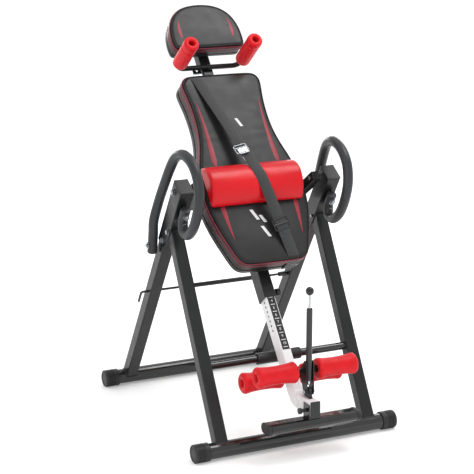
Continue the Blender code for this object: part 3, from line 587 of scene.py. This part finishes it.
# depths of each pad: its face, the middle of its side band, and its back on the board
PAD_FRONT, PAD_SEAM, PAD_BACK = 0.0150, 0.0332, 0.0755
HEAD_FRONT, HEAD_SEAM, HEAD_BACK = 0.0160, 0.0340, 0.0702
BAND = 0.0092                       # half the depth of the coloured band round a pad's side
RIM = 0.008                         # radius of a pad's front edge
SLACK = 0.0015                      # how far the unstuffed form lies inside the outline
WELT_IN = RIM * (1 - math.sqrt(0.5))  # the welt sits in the middle of the rounded edge


def edge_distance(outline, p):
    """How far each point lies from a closed outline in (across, up): the least distance to its points."""
    out = np.empty(len(p))
    for i in range(0, len(p), 4000):
        gap = p[i:i + 4000, None, [0, 2]] - outline[None]
        out[i:i + 4000] = np.sqrt(np.sum(gap ** 2, axis=-1)).min(axis=1)
    return out


def pad_piece(name, body, node, outline, front, seam, back, voxel):
    """One upholstered pad: stuffed form, blown up between its back edge, the piped side seam and the welt
    round its face."""
    form = stuffed(inward(outline, SLACK), front, back, RIM, RIM, 0.0025)
    obj = piece(name, bed(form), BLACK_VINYL, body)

    def held(p):
        on_seam = np.abs(p[:, 1] - seam) < BAND
        on_rim = (p[:, 1] < front + RIM) & (edge_distance(outline, p) < 0.010)
        return (p[:, 1] > back - 0.004) | on_seam | on_rim
    inflate(obj, held, voxel, 3.0, 0.004)
    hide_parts(node)
    return obj


backrest = pad_piece("backrest_cushion", "bed", "back_cushion", PAD_OUTLINE,
                     PAD_FRONT, PAD_SEAM, PAD_BACK, 0.0055)
head_pad = pad_piece("head_pillow", "headrest", "pillow", HEAD_OUTLINE,
                     HEAD_FRONT, HEAD_SEAM, HEAD_BACK, 0.0045)


def piping(name, body, outline, depth, r, material):
    """Welt cord sewn round a pad: a tube of radius r on the outline at one depth, with the pull of a
    stitch every 6 mm narrowing it slightly."""
    path = even(outline, 900)
    s = np.arange(len(path)) * np.linalg.norm(path[1] - path[0])
    size = 1 + 0.07 * np.cos(2 * np.pi * s / 0.006)
    section = ring(r, 10)[None] * size[:, None, None]
    grid = carried(bed(layers([(path, depth)])[0]), section, side=BACK, closed=True)
    return piece(name, grid, material, body, sharp=60, wrap_rows=True)


def cover_back(name, body, outline, front, back, width, hem):
    """The cover's turned edge: from the pad's side it runs over the board's edge, round a 2 mm corner and
    'width' across the board's back, where pleats every 22 mm lift it, growing with the way round."""
    r = 0.0020
    a = np.linspace(0, 1, 5) * np.pi / 2
    rows = [(0.0, front), (0.0, back - r)] + [(r - r * np.cos(t), back - r + r * np.sin(t)) for t in a[1:]]
    rows += [(0.008, back), (0.016, back), (width, back), (width + 0.0008, back - hem)]
    rows += [(0.016, back - hem), (0.0040, back - hem), (hem, back - r - hem), (hem, front)]
    n = len(outline)
    s = np.linspace(0, 2 * np.pi * round(n * 0.0085 / 0.022), n, endpoint=False)
    loops = []
    for d, y in rows:
        pleat = 0.0006 * np.sin(s) ** 2 * (0.008 <= d) * (y == back)
        loops.append((inward(outline, d + 0.0004), y + pleat))
    return piece(name, bed(layers(loops)), BLACK_VINYL, body, sharp=60, wrap_rows=True)


def side_band(name, body, outline, seam):
    """The coloured band sewn round a pad's side wall: a strip 2 * BAND deep that bulges by 1.4 mm as a
    half sine, with its edges tucked in behind the wall."""
    a = np.linspace(0, np.pi, 9)
    rows = [(-0.0003 - 0.0014 * np.sin(t), seam - BAND * np.cos(t)) for t in a]
    rows += [(0.0035, seam + BAND * 0.9), (0.0035, seam - BAND * 0.9)]
    grid = layers([(inward(outline, d), y) for d, y in rows])
    return piece(name, bed(grid), PIPING_VINYL, body, sharp=60, wrap_rows=True)


for who, body, outline, front, seam in (("backrest", "bed", PAD_OUTLINE, PAD_FRONT, PAD_SEAM),
                                        ("pillow", "headrest", HEAD_OUTLINE, HEAD_FRONT, HEAD_SEAM)):
    side_band(who + "_side_band", body, outline, seam)
    for edge, way in (("front", -1), ("back", 1)):
        piping(who + "_piping_" + edge, body, outline, seam + way * BAND, 0.0019, ROSE_VINYL)
    # the welt's darker vinyl paints the shadow gap round the pad's face
    piping(who + "_welt", body, inward(outline, SLACK + WELT_IN), front + WELT_IN, 0.0023, WELT_SHADE_VINYL)
cover_back("backrest_cover_hem", "bed", PAD_OUTLINE, PAD_BACK - 0.004, 0.0893, 0.026, 0.0008)
cover_back("pillow_cover_hem", "headrest", inward(HEAD_OUTLINE, 0.0005), HEAD_BACK - 0.004, 0.0792,
           0.020, 0.0008)

# the board behind the pillow, cut to the pillow's own outline, with its edges eased
board = inward(HEAD_OUTLINE, 0.0025)
eased = inward(board, 0.0006)
centre_spot = eased.mean(axis=0) + (eased - eased.mean(axis=0)) * 0.02
board_rows = [(centre_spot, 0.0711), (eased, 0.0711), (board, 0.0717), (board, 0.0784),
              (eased, 0.0790), (centre_spot, 0.0790)]
head_board = piece("pillow_backing_board", bed(layers(board_rows)), PLYWOOD, "headrest")
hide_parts("pillow_board")

# lumbar roll: a D section, (depth, up), carried across the bed
ROLL_BACK = 0.0110
ROLL_SECTION = [(0.0114, -0.064), (-0.002, -0.070), (-0.036, -0.042), (-0.053, 0.002),
                (-0.046, 0.042), (-0.020, 0.068), (0.0114, 0.077), (0.0114, 0.040), (0.0114, -0.020)]
ROLL_END = 0.163
ROLL_X = -0.010             # the roll sits a little to the right


def roll_form():
    """The roll's closed form: its section at each place across, drawn in at the ends by a quarter circle
    and closed to a point in the middle of each end."""
    section = even(cut_corners(ROLL_SECTION, 3), 120)
    section[:, 0] = np.minimum(section[:, 0], ROLL_BACK)
    section = inward(section, 0.0025)
    middle = np.array([-0.014, 0.012])
    a = np.linspace(0, 1, 6) * np.pi / 2
    end = ROLL_END - 0.003
    xs = np.concatenate([end - 0.008 * (1 - np.sin(a)), np.full(6, end)])
    ins = np.concatenate([0.008 * (1 - np.cos(a)), np.full(6, 0.008)])
    ks = np.concatenate([np.ones(6), np.linspace(0.85, 0.02, 6)])
    half = [(x, middle + (inward(section, d) - middle) * k) for x, d, k in zip(xs, ins, ks)]
    rows = [(-x, p) for x, p in half[::-1]] + [(x, section) for x in np.linspace(-0.14, 0.14, 15)] + half
    return np.array([np.column_stack([np.full(len(p), x + ROLL_X), p[:, 0], p[:, 1]]) for x, p in rows])


lumbar = piece("lumbar_cushion", bed(roll_form()), RED_VINYL, "bed")
inflate(lumbar, lambda p: (p[:, 1] > ROLL_BACK - 0.004) | (np.abs(p[:, 0] - ROLL_X) > 0.156),
        0.0042, 4.0, 0.005)
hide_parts("lumbar_roll")


STRAP_DRIFT = 0.229         # metres across for each metre down the bed
STRAP_HALF, STRAP_THICK = 0.019, 0.0016


def strap_x(z):
    """Where the strap's middle crosses the bed at height z: a straight line drifting to the left."""
    return -0.090 + STRAP_DRIFT * (0.417 - z)


def press(obj, depth):
    """Sinks a groove into a cushion along the strap: a bell curve of the distance from its middle."""
    p = from_bed(coordinates(obj))
    away = (p[:, 0] - strap_x(p[:, 2])) * math.cos(math.atan(STRAP_DRIFT))
    push = depth * np.exp(-(np.abs(away) / 0.021) ** 4) * np.clip((ROLL_BACK - p[:, 1]) / 0.02, 0, 1)
    p[:, 1] += push
    obj.data.vertices.foreach_set("co", bed(p).ravel())
    obj.data.update()


press(lumbar, 0.0022)


# ---------------------------------------------------------------- strap
def taut(z, y):
    """The tight line over a profile: the lower convex hull of (z, y), walked in order of z."""
    hull = []
    for q in zip(z, y):
        while len(hull) > 1:
            (az, ay), (bz, by) = hull[-2:]
            if (bz - az) * (q[1] - ay) - (by - ay) * (q[0] - az) > 0:
                break
            hull.pop()
        hull.append(q)
    return np.array(hull)


def strap_line():
    """The strap's middle line in bed coordinates: up the back edge, taut over the pad and the roll at the
    depth each has under it, down over the lower edge and forward onto the board."""
    z = np.linspace(0.405, -0.254, 160)
    x = strap_x(z)
    under = np.minimum(depth_at(face_points(backrest), x, z), depth_at(face_points(lumbar), x, z))
    near = np.isfinite(under)
    z = np.concatenate([[0.4135], z[near], [-0.2635]])
    under = np.concatenate([[0.036], under[near], [0.036]])
    hull = taut(z[::-1], under[::-1])[::-1]
    line = np.array([(0.0860, 0.4150)] + [(y - STRAP_THICK, s) for s, y in hull]
                    + [(0.0884, -0.2645), (0.0912, -0.2560), (0.0912, -0.2060)])
    line[1, 1] = 0.4150
    line = even(line, 420, closed=False)
    kernel = np.ones(9) / 9
    soft = np.column_stack([np.convolve(np.pad(line[:, k], 4, mode="edge"), kernel, "valid") for k in (0, 1)])
    x = strap_x(soft[:, 1])
    wrapped = np.clip((soft[:, 0] - 0.030) / 0.056, 0, 1) * (soft[:, 1] > 0)
    return np.column_stack([x + 0.050 * wrapped ** 1.5, soft[:, 0], soft[:, 1]])


line = strap_line()
flat = rectangle(2 * STRAP_HALF, STRAP_THICK, 0.0007, 2)
grid = carried(bed(line), flat, side=ACROSS)
length = np.concatenate([[0], np.cumsum(np.linalg.norm(np.diff(line, axis=0), axis=1))])
uv = np.stack(np.broadcast_arrays(flat[None, :, 0], length[:, None]), axis=-1)
strap = piece("bed_strap", grid, WEBBING, "bed", sharp=60, uv=uv)
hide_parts("strap")

# box stitch where the strap's tail is sewn
THREAD = powder_coat("grey_polyester_thread", "#4a4b4e", "#5a5b5f", 0.55, 0.001)


def stitches(name, lines, body, pitch=0.0042, r=0.0004, lift=0.0011):
    """Short thread bumps along lines in bed coordinates: each one is half a sine wave long, and the gaps
    between them are a third of the pitch."""
    grids = []
    for a, b in lines:
        a, b = np.array(a, float), np.array(b, float)
        count = max(1, int(np.linalg.norm(b - a) / pitch))
        for k in range(count):
            t = np.linspace(k + 0.16, k + 0.84, 5) / count
            rise = lift + 0.0003 * np.sin(np.linspace(0, np.pi, 5))
            p = a + (b - a) * t[:, None]
            p[:, 1] -= rise
            grids.append(carried(bed(p), ring(r, 6), side=BACK))
    return piece(name, grids, THREAD, body, sharp=60)


def at_strap(across, z):
    """A point on the strap's user side, across from its middle, at bed height z."""
    return (strap_x(z) + across, float(np.interp(-z, -line[60:-70, 2], line[60:-70, 1])), z)


a, b, c, d = [at_strap(x, z) for z in (-0.162, -0.190) for x in (-0.015, 0.015)]
stitches("strap_box_stitch", [(a, b), (c, d), (a, c), (b, d), (a, d), (b, c)], "bed")

# buckles on the strap
def on_strap(z, across=0.0):
    """The strap's own directions at bed height z: a point on its user side, then across, along and out."""
    origin = np.array(at_strap(0.0, z))
    along = np.array(at_strap(0.0, z + 0.02)) - np.array(at_strap(0.0, z - 0.02))
    along /= np.linalg.norm(along)
    out = np.cross(along, (1.0, 0.0, 0.0))
    out /= np.linalg.norm(out)
    sideways = np.cross(out, along)
    return origin + sideways * across, sideways, along, -out if out[1] > 0 else out


def buckle_loop(name, z, across, w, d, wire, lift, material, tall=1.0):
    """A rectangular loop round the strap, with round corners: an oval wire carried round its outline."""
    origin, u, v, out = on_strap(z, across)
    path = rectangle(w, d, 0.006, 8)
    path = origin + out * lift + path[:, :1] * u + path[:, 1:] * v
    grid = carried(bed(path), ring(wire, 14) * (1.0, tall), side=BACK, closed=True)
    return piece(name, grid, material, "bed", sharp=60, wrap_rows=True)


def buckle_bar(name, z, across, w, at, wide, deep, lift, material, slot):
    """A bar across a buckle: a rounded rectangle carried from side to side, 'at' up from the middle."""
    origin, u, v, out = on_strap(z, across)
    ends = np.linspace(-w / 2, w / 2, 9)[:, None] * u + v * at + origin + out * lift
    section = rectangle(deep, wide, min(deep, wide) * 0.4, 4)
    return piece(name, carried(bed(ends), section, side=BACK), material, "bed")


SLIDE_Z, CAM_Z, CAM_X = -0.150, 0.112, -0.010
slide = buckle_loop("slide_buckle_loop", SLIDE_Z, 0.0, 0.052, 0.036, 0.0027, 0.0010, PLASTIC,
                    0.8)
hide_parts("strap_buckle")
buckle_bar("slide_buckle_bar", SLIDE_Z, 0.0, 0.049, 0.0, 0.0060, 0.0032, 0.0020, PLASTIC,
           "black_plastic")
buckle_loop("cam_buckle_loop", CAM_Z, CAM_X, 0.046, 0.030, 0.0020, 0.0022, ZINC)
for label, *sizes in (("pin", 0.046, 0.004, 0.0036, 0.0036, 0.0040),
                      ("lever", 0.034, -0.010, 0.0200, 0.0024, 0.0060),
                      ("thumb_lip", 0.034, -0.0205, 0.0030, 0.0052, 0.0070)):
    buckle_bar("cam_buckle_" + label, CAM_Z, CAM_X, *sizes, ZINC, "zinc")

# slotted steel plate that anchors the strap's top end behind the board
hole_r, hole_up = 0.0058, 0.026
outer = rectangle(0.030, 0.080, 0.008, 15)
angle = np.arctan2(outer[:, 1] - hole_up, outer[:, 0])
hole = np.column_stack([hole_r * np.cos(angle), hole_up + hole_r * np.sin(angle)])
rows = [(outer, 0.0915), (outer, 0.0931), (hole, 0.0931), (hole, 0.0915)]
plate = layers([(p + (-0.037, 0.448), y) for p, y in rows])
piece("strap_anchor_plate", bed(plate), ZINC, "bed", wrap_rows=True)


# ---------------------------------------------------------------- stripes and printed marks on the pads
def inlay(name, body, points, material, edges, steps, lift=0.0004):
    """A thin raised band on a cushion's face.  edges is (left, right), two lines of (x, z); between them
    the band follows the cushion's own depth and stands 'lift' proud, rounded off at its rim."""
    left, right = (even(np.array(e, float), steps, closed=False) for e in edges)
    k = np.linspace(0, 1, 7)[None, :, None]
    xz = left[:, None] * (1 - k) + right[:, None] * k
    depth = depth_at(points, xz[..., 0], xz[..., 1], 0.0035)
    edge = np.sin(np.linspace(0, np.pi, 7)) ** 0.35
    top = depth - lift * edge[None, :] - 0.0001
    upper = np.stack([xz[..., 0], top, xz[..., 1]], axis=-1)
    lower = np.stack([xz[..., 0], depth + 0.0020, xz[..., 1]], axis=-1)
    grid = np.concatenate([upper, lower[:, ::-1]], axis=1)
    return piece(name, bed(grid), material, body, sharp=60)


def taper(points, s, width, swell):
    """The two edges of a stripe along (x, z) points, mirrored in x when s is -1.  Its half width grows with
    the way along to the power 0.8, and draws in again over the last part, from 'swell' of the way on."""
    p = spline(np.array(points) * (s, 1), 12)
    s = np.linspace(0.02, 1, len(p))
    w = width * np.minimum((s / swell) ** 0.8, 1.0) * np.clip((1.02 - s) / (1.02 - swell), 0, 1) ** 0.5
    t = np.gradient(p, axis=0)
    t /= np.linalg.norm(t, axis=1)[:, None]
    n = np.column_stack([t[:, 1], -t[:, 0]])
    return p - n * w[:, None], p + n * w[:, None]


pad_face = face_points(backrest)
head_face = face_points(head_pad)
STRIPES = (
    ("stripe_upper_", "bed", pad_face, 0.0088, 0.92, 60,
     [(0.111, 0.318), (0.107, 0.240), (0.107, 0.160), (0.110, 0.079)]),
    ("stripe_lower_", "bed", pad_face, 0.0080, 0.92, 40,
     [(0.118, -0.178), (0.122, -0.140), (0.125, -0.100), (0.127, -0.058)]),
    ("pillow_stripe_", "headrest", head_face, 0.0062, 0.70, 30,
     [(0.086, 0.626), (0.092, 0.604), (0.094, 0.580), (0.092, 0.552)]))
for side, s in SIDES:
    for name, body, face, width, swell, steps, points in STRIPES:
        inlay(name + side, body, face, STRIPE_VINYL, taper(points, s, width, swell), steps)

# white print: slanted bars of different sizes up the middle of the pad
PRINT_BARS = [(0.014, 0.228, 0.010, 0.030), (-0.020, 0.204, 0.012, 0.022), (-0.008, 0.166, 0.016, 0.012),
              (0.004, 0.096, 0.022, 0.014), (-0.028, -0.100, 0.011, 0.036), (-0.004, -0.116, 0.011, 0.026),
              (-0.006, -0.160, 0.011, 0.038)]
for k, (x, z, wide, tall) in enumerate(PRINT_BARS):
    lean = -0.45 * tall
    edges = [[(x + way * wide / 2 - lean / 2, z - tall / 2), (x + way * wide / 2 + lean / 2, z + tall / 2)]
             for way in (-1, 1)]
    inlay("print_bar_%d" % k, "bed", pad_face, PRINT_WHITE, edges, 12, lift=0.0003)


# ---------------------------------------------------------------- foam rollers and grips
def roller_profile(x0, x1):
    """Dog-bone roller: 28.5 mm radius in the middle rising as the way out to the power 2.4 to 33 mm,
    rounded over the ends into a dimple round the bore, and the bore's wall back through the middle."""
    mid, half = (x0 + x1) / 2, (x1 - x0) / 2
    u = np.linspace(-1, 1, 31)
    body = np.column_stack([mid + u * (half - 0.010), 0.0285 + 0.0045 * np.abs(u) ** 2.4])
    a = np.linspace(0, 1, 9)[1:] * np.pi / 2
    shoulder = np.column_stack([0.010 * np.sin(a), 0.033 - 0.011 * (1 - np.cos(a))])
    high = np.column_stack([mid + half - 0.010 + shoulder[:, 0], shoulder[:, 1]])
    dimple = [(x1 - 0.0006, 0.0165), (x1 - 0.0016, 0.0138), (x1 - 0.0040, 0.0122), (x1 - 0.0115, 0.0115)]
    end = np.vstack([high, dimple, [(x1 - 0.0120, 0.0086)]])
    start = np.column_stack([2 * mid - end[:, 0], end[:, 1]])[::-1]
    return np.vstack([start, body, end])


def middle_of(node):
    """The middle of a CAD node's box."""
    low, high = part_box(node)
    return (low + high) / 2


REAR_BAR, FRONT_BAR = middle_of("rear_bar"), middle_of("front_bar")
for side, s in SIDES:
    for where, centre, body in (("rear", REAR_BAR, "foot_boom"), ("front", FRONT_BAR, "ankle_clamp")):
        node = f"{where}_roller_{side}"
        lo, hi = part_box(node)
        grid = turned(roller_profile(lo.x, hi.x), (0, centre.y, centre.z), n=72)
        roll = piece(f"{where}_foam_roller_{side}", grid, RED_FOAM, body, sharp=60, wrap_rows=True)
        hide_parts(node)

GRIP_Z = 0.4755
# the grip's profile, (along, radius), from its front end past the flange and back along the bore
GRIP = [(0.048, 0.0095), (0.0484, 0.0150), (0.0470, 0.0205), (0.0430, 0.0238), (0.0350, 0.0249),
        (0.0000, 0.0250), (-0.0440, 0.0249), (-0.0500, 0.0246), (-0.0528, 0.0234),
        (-0.0548, 0.0234), (-0.0576, 0.0247), (-0.0640, 0.0254), (-0.0740, 0.0254),
        (-0.0806, 0.0243), (-0.0842, 0.0212), (-0.0852, 0.0170), (-0.0844, 0.0128),
        (-0.0822, 0.0106), (-0.0780, 0.0100), (-0.0640, 0.0098), (-0.0620, 0.0090)]
for side, s in SIDES:
    grid = turned(spline(GRIP, 3), bed((s * 0.113, 0.0, GRIP_Z)), axis=BACK, n=64)
    grip = piece("head_foam_grip_" + side, grid, RED_FOAM, "headrest", sharp=60, wrap_rows=True)
    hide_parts("head_grip_" + side)


# ---------------------------------------------------------------- looped handles and floor caps
ROOT = np.array((0.0, 0.0382, 0.6475))     # foot of the pivot box on the rear leg's axis
BOX_UP = np.array((0.0, -math.sin(REAR_TILT), math.cos(REAR_TILT)))
BOX_FRONT = np.array((0.0, -math.cos(REAR_TILT), -math.sin(REAR_TILT)))


def on_box(up, front, x=0.0):
    """A point 'up' along the pivot box and 'front' of the rear leg's axis."""
    return ROOT + up * BOX_UP + front * BOX_FRONT + x * ACROSS


HANDLE_R, SEAT, LEG_X, OUT_X = 0.016, 0.0543, 0.256, 0.2956
HANDLE_SEAT = ((0.122, 0.0), (0.100, 0.0004), (0.076, 0.0028))
HANDLE_LINE = [on_box(up, SEAT + gap, LEG_X) for up, gap in HANDLE_SEAT] + [
    (0.256, -0.0520, 0.6500), (0.256, -0.0800, 0.6420), (0.256, -0.1120, 0.6580), (0.256, -0.1400, 0.6900),
    (0.256, -0.1640, 0.7370), (0.256, -0.1745, 0.7850), (0.257, -0.1640, 0.8350), (0.258, -0.1310, 0.8720),
    (0.260, -0.0900, 0.8890), (0.262, -0.0520, 0.8900), (0.266, -0.0160, 0.8720), (0.271, 0.0140, 0.8330),
    (0.279, 0.0560, 0.7600), (0.286, 0.0800, 0.7060), (OUT_X, 0.0900, 0.6560), (OUT_X, 0.0965, 0.6150),
    (OUT_X, 0.1035, 0.5730), (OUT_X, 0.1080, 0.5460)]
HANDLE_PATH = even(spline(HANDLE_LINE, 12), 170, closed=False)


def domed(path, r, depth=0.004):
    """A round bar along a path whose two ends are rounded over as quarter circles of radius 'depth'."""
    s = np.concatenate([[0], np.cumsum(np.linalg.norm(np.diff(path, axis=0), axis=1))])
    extra = depth * (1 - np.cos(np.linspace(0, 1, 6) * np.pi / 2))
    t = np.unique(np.concatenate([s, extra, s[-1] - extra]))
    path = np.stack([np.interp(t, s, path[:, k]) for k in range(3)], axis=1)
    near = np.clip(np.minimum(t, s[-1] - t) / depth, 0, 1)
    size = (r - depth + depth * np.sqrt(1 - (1 - near) ** 2)) / r
    return carried(path, ring(r, 40)[None] * size[:, None, None])


for side, s in SIDES:
    path = HANDLE_PATH * np.array([s, 1.0, 1.0])
    bar = piece("loop_handle_" + side, domed(path, HANDLE_R), HANDLE_COAT, "root",
                sharp=50)
    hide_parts("handle_" + side)


def cap_profile(half):
    """Floor cap from its end to its mouth: a domed end face with a moulded ring, five grooves 1.4 mm deep
    every 5 mm, a plain band and a rolled lip."""
    r = 0.029
    face = [(half - 0.0012, 0.0010), (half - 0.0012, 0.0170), (half - 0.0022, 0.0180),
            (half - 0.0022, 0.0200), (half - 0.0008, 0.0212), (half, 0.0225), (half, 0.0250),
            (half - 0.0014, 0.0279), (half - 0.0040, r)]
    ribs = []
    for k in range(5):
        x = half - 0.0090 - 0.0050 * k
        ribs += [(x, r), (x - 0.0006, r - 0.0014), (x - 0.0020, r - 0.0014), (x - 0.0026, r)]
    mouth = [(half - 0.0465, r), (half - 0.0485, r - 0.0002), (half - 0.0500, r - 0.0015),
             (half - 0.0500, 0.0254), (half - 0.0044, 0.0254), (half - 0.0044, 0.0010)]
    return face + ribs + mouth


for where, body in (("rear", "root"), ("front", "front_frame")):
    tube = middle_of(where + "_base_tube")
    for side, s in SIDES:
        node = f"{where}_cap_{side}"
        low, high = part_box(node)
        profile = [(s * a, r) for a, r in cap_profile(max(abs(low.x), abs(high.x)))]
        grid = turned(profile, (0, tube.y, tube.z), n=72)
        grid[..., 2] = np.maximum(grid[..., 2], low.z)
        cap = piece(f"{where}_ribbed_cap_{side}", grid, RUBBER, body, sharp=34)
        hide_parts(node)


# ---------------------------------------------------------------- bolts, nuts and washers
def hexagon(rows):
    """shape() for turned(): a circle, but on the given rows a hexagon, whose radius at an angle is the
    distance to the nearest flat over the cosine of the angle from it."""
    def shape(angle, row):
        flat = np.cos(np.pi / 6) / np.cos(np.mod(angle, np.pi / 3) - np.pi / 6)
        return np.where(np.isin(row, rows), flat, 1.0)
    return shape


def hex_head(name, at, out, body, across=0.013, thick=0.0055, thread=False):
    """A washer, and on it a hexagon head with a chamfered crown, or a nut with its thread end showing.
    'across' is the width over the flats; 'out' is the way it points."""
    c = across / 2 / math.cos(math.pi / 6)
    w = 0.0012                  # the washer's thickness
    rows = [(-0.0010, c * 0.55), (-0.0010, c * 1.42), (w * 0.7, c * 1.45), (w, c * 1.40), (w, c * 1.02),
            (w, c), (w + thick * 0.80, c), (w + thick, c * 0.80), (w + thick, c * 0.50)]
    if thread:
        rows += [(w + thick, c * 0.50), (w + thick + 0.0030, c * 0.50), (w + thick + 0.0038, c * 0.42)]
    rows.append((rows[-1][0] + 0.0001, c * 0.02))
    return piece(name, turned(rows, at, axis=out, shape=hexagon([5, 6])), ZINC, body, sharp=28)


REAR_BOLT = (0.1035, 0.573)         # (y, z) of the bolt through the handle's foot and the rear leg
for side, s in SIDES:
    x, away, inside = s * LEG_X, (s, 0, 0), (-s, 0, 0)
    top = HANDLE_R + 0.0002     # from the handle's axis to the washers on it
    hex_head("handle_front_bolt_" + side, on_box(0.100, SEAT + top, x), BOX_FRONT, "root")
    hex_head("handle_seat_nut_" + side, on_box(0.072, SEAT + top, x), BOX_FRONT, "root", 0.010, 0.004)
    hex_head("handle_rear_bolt_" + side, (s * (OUT_X + top), *REAR_BOLT), away, "root")
    hex_head("leg_bolt_" + side, on_box(-0.058, 0.006, s * (LEG_X + 0.0234)), away, "root")
    hex_head("leg_nut_" + side, on_box(-0.058, 0.006, s * (LEG_X - 0.0234)), inside, "root",
             thick=0.006, thread=True)
    hex_head("handle_rear_nut_" + side, (s * (LEG_X - 0.0202), *REAR_BOLT), inside, "root",
             thick=0.006, thread=True)


# board bolts through the pad tubes and the pillow's flange, and plugs in the two open tube ends
for label, reach, y, z, body, across, thick in (
        ("board_bolt_lower", 0.062, 0.1210, -0.185, "bed", 0.013, 0.0050),
        ("board_bolt_upper", 0.082, 0.1210, 0.235, "bed", 0.013, 0.0050),
        ("flange_bolt_lower", 0.037, 0.0869, 0.549, "headrest", 0.010, 0.0040),
        ("flange_bolt_upper", 0.037, 0.0869, 0.611, "headrest", 0.010, 0.0040)):
    for side, s in SIDES:
        hex_head(f"{label}_{side}", bed((s * reach, y, z)), BACK, body, across, thick)


def tube_plug(name, y, z, outer, inner, body):
    """Moulded plug in a tube's open end: a tongue inside the bore, a collar 3 mm thick on the rim and a
    bevelled face.  outer and inner are the tube's widths across and from front to back."""
    rows = [(-0.0100, inner, 0.0010), (-0.0001, inner, 0.0006), (0.0000, outer, 0.0006),
            (0.0003, outer, 0.0002), (0.0022, outer, 0.0002), (0.0032, outer, 0.0022)]
    path = bed([(0.0, y, z + up) for up, _, _ in rows])
    sections = np.array([rectangle(w - 2 * d, t - 2 * d, 0.0025, 6) for _, (w, t), d in rows])
    return piece(name, carried(path, sections, side=ACROSS), PLASTIC, body)


BOOM_Y = 0.1505
tube_plug("boom_end_plug", BOOM_Y, 0.4300, (0.040, 0.060), (0.0355, 0.0555), "bed")
tube_plug("sleeve_end_plug", 0.1045, 0.6300, (0.038, 0.036), (0.0312, 0.0292), "headrest")


# ---------------------------------------------------------------- weld beads
def bead(name, loop, r, body, coat=WELD):
    """Weld bead round a joint: a round cord along a closed loop, swelling every 3.5 mm where each drop of
    metal froze."""
    path = even(np.asarray(loop, float), 160)
    s = np.arange(len(path)) * np.linalg.norm(path[1] - path[0])
    size = 1 + 0.14 * np.abs(np.sin(np.pi * s / 0.0035))
    section = ring(r, 8)[None] * size[:, None, None]
    grid = carried(path, section, side=path - path.mean(axis=0), closed=True)
    return piece(name, grid, coat, body, sharp=60, wrap_rows=True)


def saddle_loop(x, axis_point, tilt, base, r):
    """Where a 40 mm square leg meets a floor tube: each point of the leg's outline slides down the leg until
    its distance from the tube's axis is the tube's radius, the first root of that square equation."""
    uv = even(rectangle(0.0405, 0.0405, 0.004), 96)
    down = np.array((math.sin(tilt), -math.cos(tilt)))
    front = np.array((math.cos(tilt), math.sin(tilt)))
    start = np.array(axis_point) + uv[:, 1:2] * front
    rel = start - np.array(base)
    half_b = rel @ down
    t = -half_b - np.sqrt(np.maximum(half_b ** 2 - (np.sum(rel ** 2, axis=1) - r ** 2), 0))
    hit = start + t[:, None] * down
    return np.column_stack([x + uv[:, 0], hit])


def round_loop(x, centre, r):
    """A circle of radius r round a bar that runs across, at one place x."""
    return np.column_stack([np.full(64, x), ring(r, 64) + (centre.y, centre.z)])


HINGE = JOINT["frame_fold"]["pos_m"]
for where, top, tilt, body in (("rear", ROOT[1:], REAR_TILT, "root"),
                               ("front", HINGE[1:], FRONT_TILT, "front_frame")):
    tube = middle_of(where + "_base_tube")
    for side, s in SIDES:
        loop = saddle_loop(s * LEG_X, top, tilt, (tube.y, tube.z), 0.0252)
        bead(f"{where}_leg_weld_{side}", loop, 0.0020, body)
cross = middle_of("crossbar")
for side, s in SIDES:
    bead("crossbar_weld_" + side, round_loop(s * (LEG_X - 0.0202), cross, 0.0128), 0.0016, "front_frame")
    bead("roller_bar_weld_" + side, round_loop(s * 0.0162, REAR_BAR, 0.0083), 0.0012, "foot_boom",
         WHITE_COAT)
    bead("clamp_bar_weld_" + side, round_loop(s * 0.0132, FRONT_BAR, 0.0083), 0.0012, "ankle_clamp")


# ---------------------------------------------------------------- height scale and holes on the inner boom
def flat_panel(name, outline, front, thick, material):
    """A thin plate on the boom's front: an outline given as (across, up), its back at depth 'front',
    'thick' high with its rim eased by 0.4 of that."""
    grid = layers([(outline, front), (outline, front - thick * 0.6),
                   (inward(outline, thick * 0.4), front - thick)])
    return piece(name, bed(grid), material, "foot_boom", sharp=40)


BOOM_FRONT = BOOM_Y - 0.0250
film = rectangle(0.0250, 0.250, 0.0015, 3) + (0.0, -0.390)
flat_panel("height_scale_film", film, BOOM_FRONT - 0.00002, 0.00025, LABEL_BLACK)
PITCH = 0.024
for k in range(10):
    z = -0.278 - PITCH * k
    tick = rectangle(0.0150, 0.0022, 0.0004, 2) + (0.0, z - PITCH / 2)
    flat_panel(f"scale_tick_{k}", tick, BOOM_FRONT - 0.00025, 0.00012, PRINT_WHITE)
    text = bpy.data.curves.new(f"scale_number_{k}", "FONT")
    text.body = str(k + 1)
    text.size = 0.0125
    text.align_x = "CENTER"
    text.align_y = "CENTER"
    text.extrude = 0.00006
    lettering = bpy.data.objects.new(f"text_{k}", text)
    bpy.context.scene.collection.objects.link(lettering)
    mesh = evaluated(lettering)
    bpy.data.objects.remove(lettering)
    number = bpy.data.objects.new(f"scale_number_{k}", mesh)
    bpy.context.scene.collection.objects.link(number)
    flat_xy = coordinates(number)
    placed = np.column_stack([flat_xy[:, 0], BOOM_FRONT - 0.00030 - flat_xy[:, 2], flat_xy[:, 1] + z])
    mesh.vertices.foreach_set("co", bed(placed).ravel())
    mesh.materials.clear()
    mesh.materials.append(PRINT_WHITE)
    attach(number, "foot_boom")

# height holes down both sides of the boom, each a shallow disc with a raised lip, coloured near black as painted
# shade standing in for the depth of a hole
HOLE = [(-0.0006, 0.0001), (-0.0006, 0.0032), (0.00012, 0.0036), (0.00015, 0.0032), (0.00010, 0.0029),
        (0.00010, 0.0001)]
grids = [turned(HOLE, bed((s * 0.01602, BOOM_Y - 0.004, -0.282 - 0.016 * k)), axis=(s, 0, 0), n=24)
         for k in range(11) for s in (-1.0, 1.0)]
piece("height_holes", grids, HOLE_SHADE, "foot_boom", sharp=40)
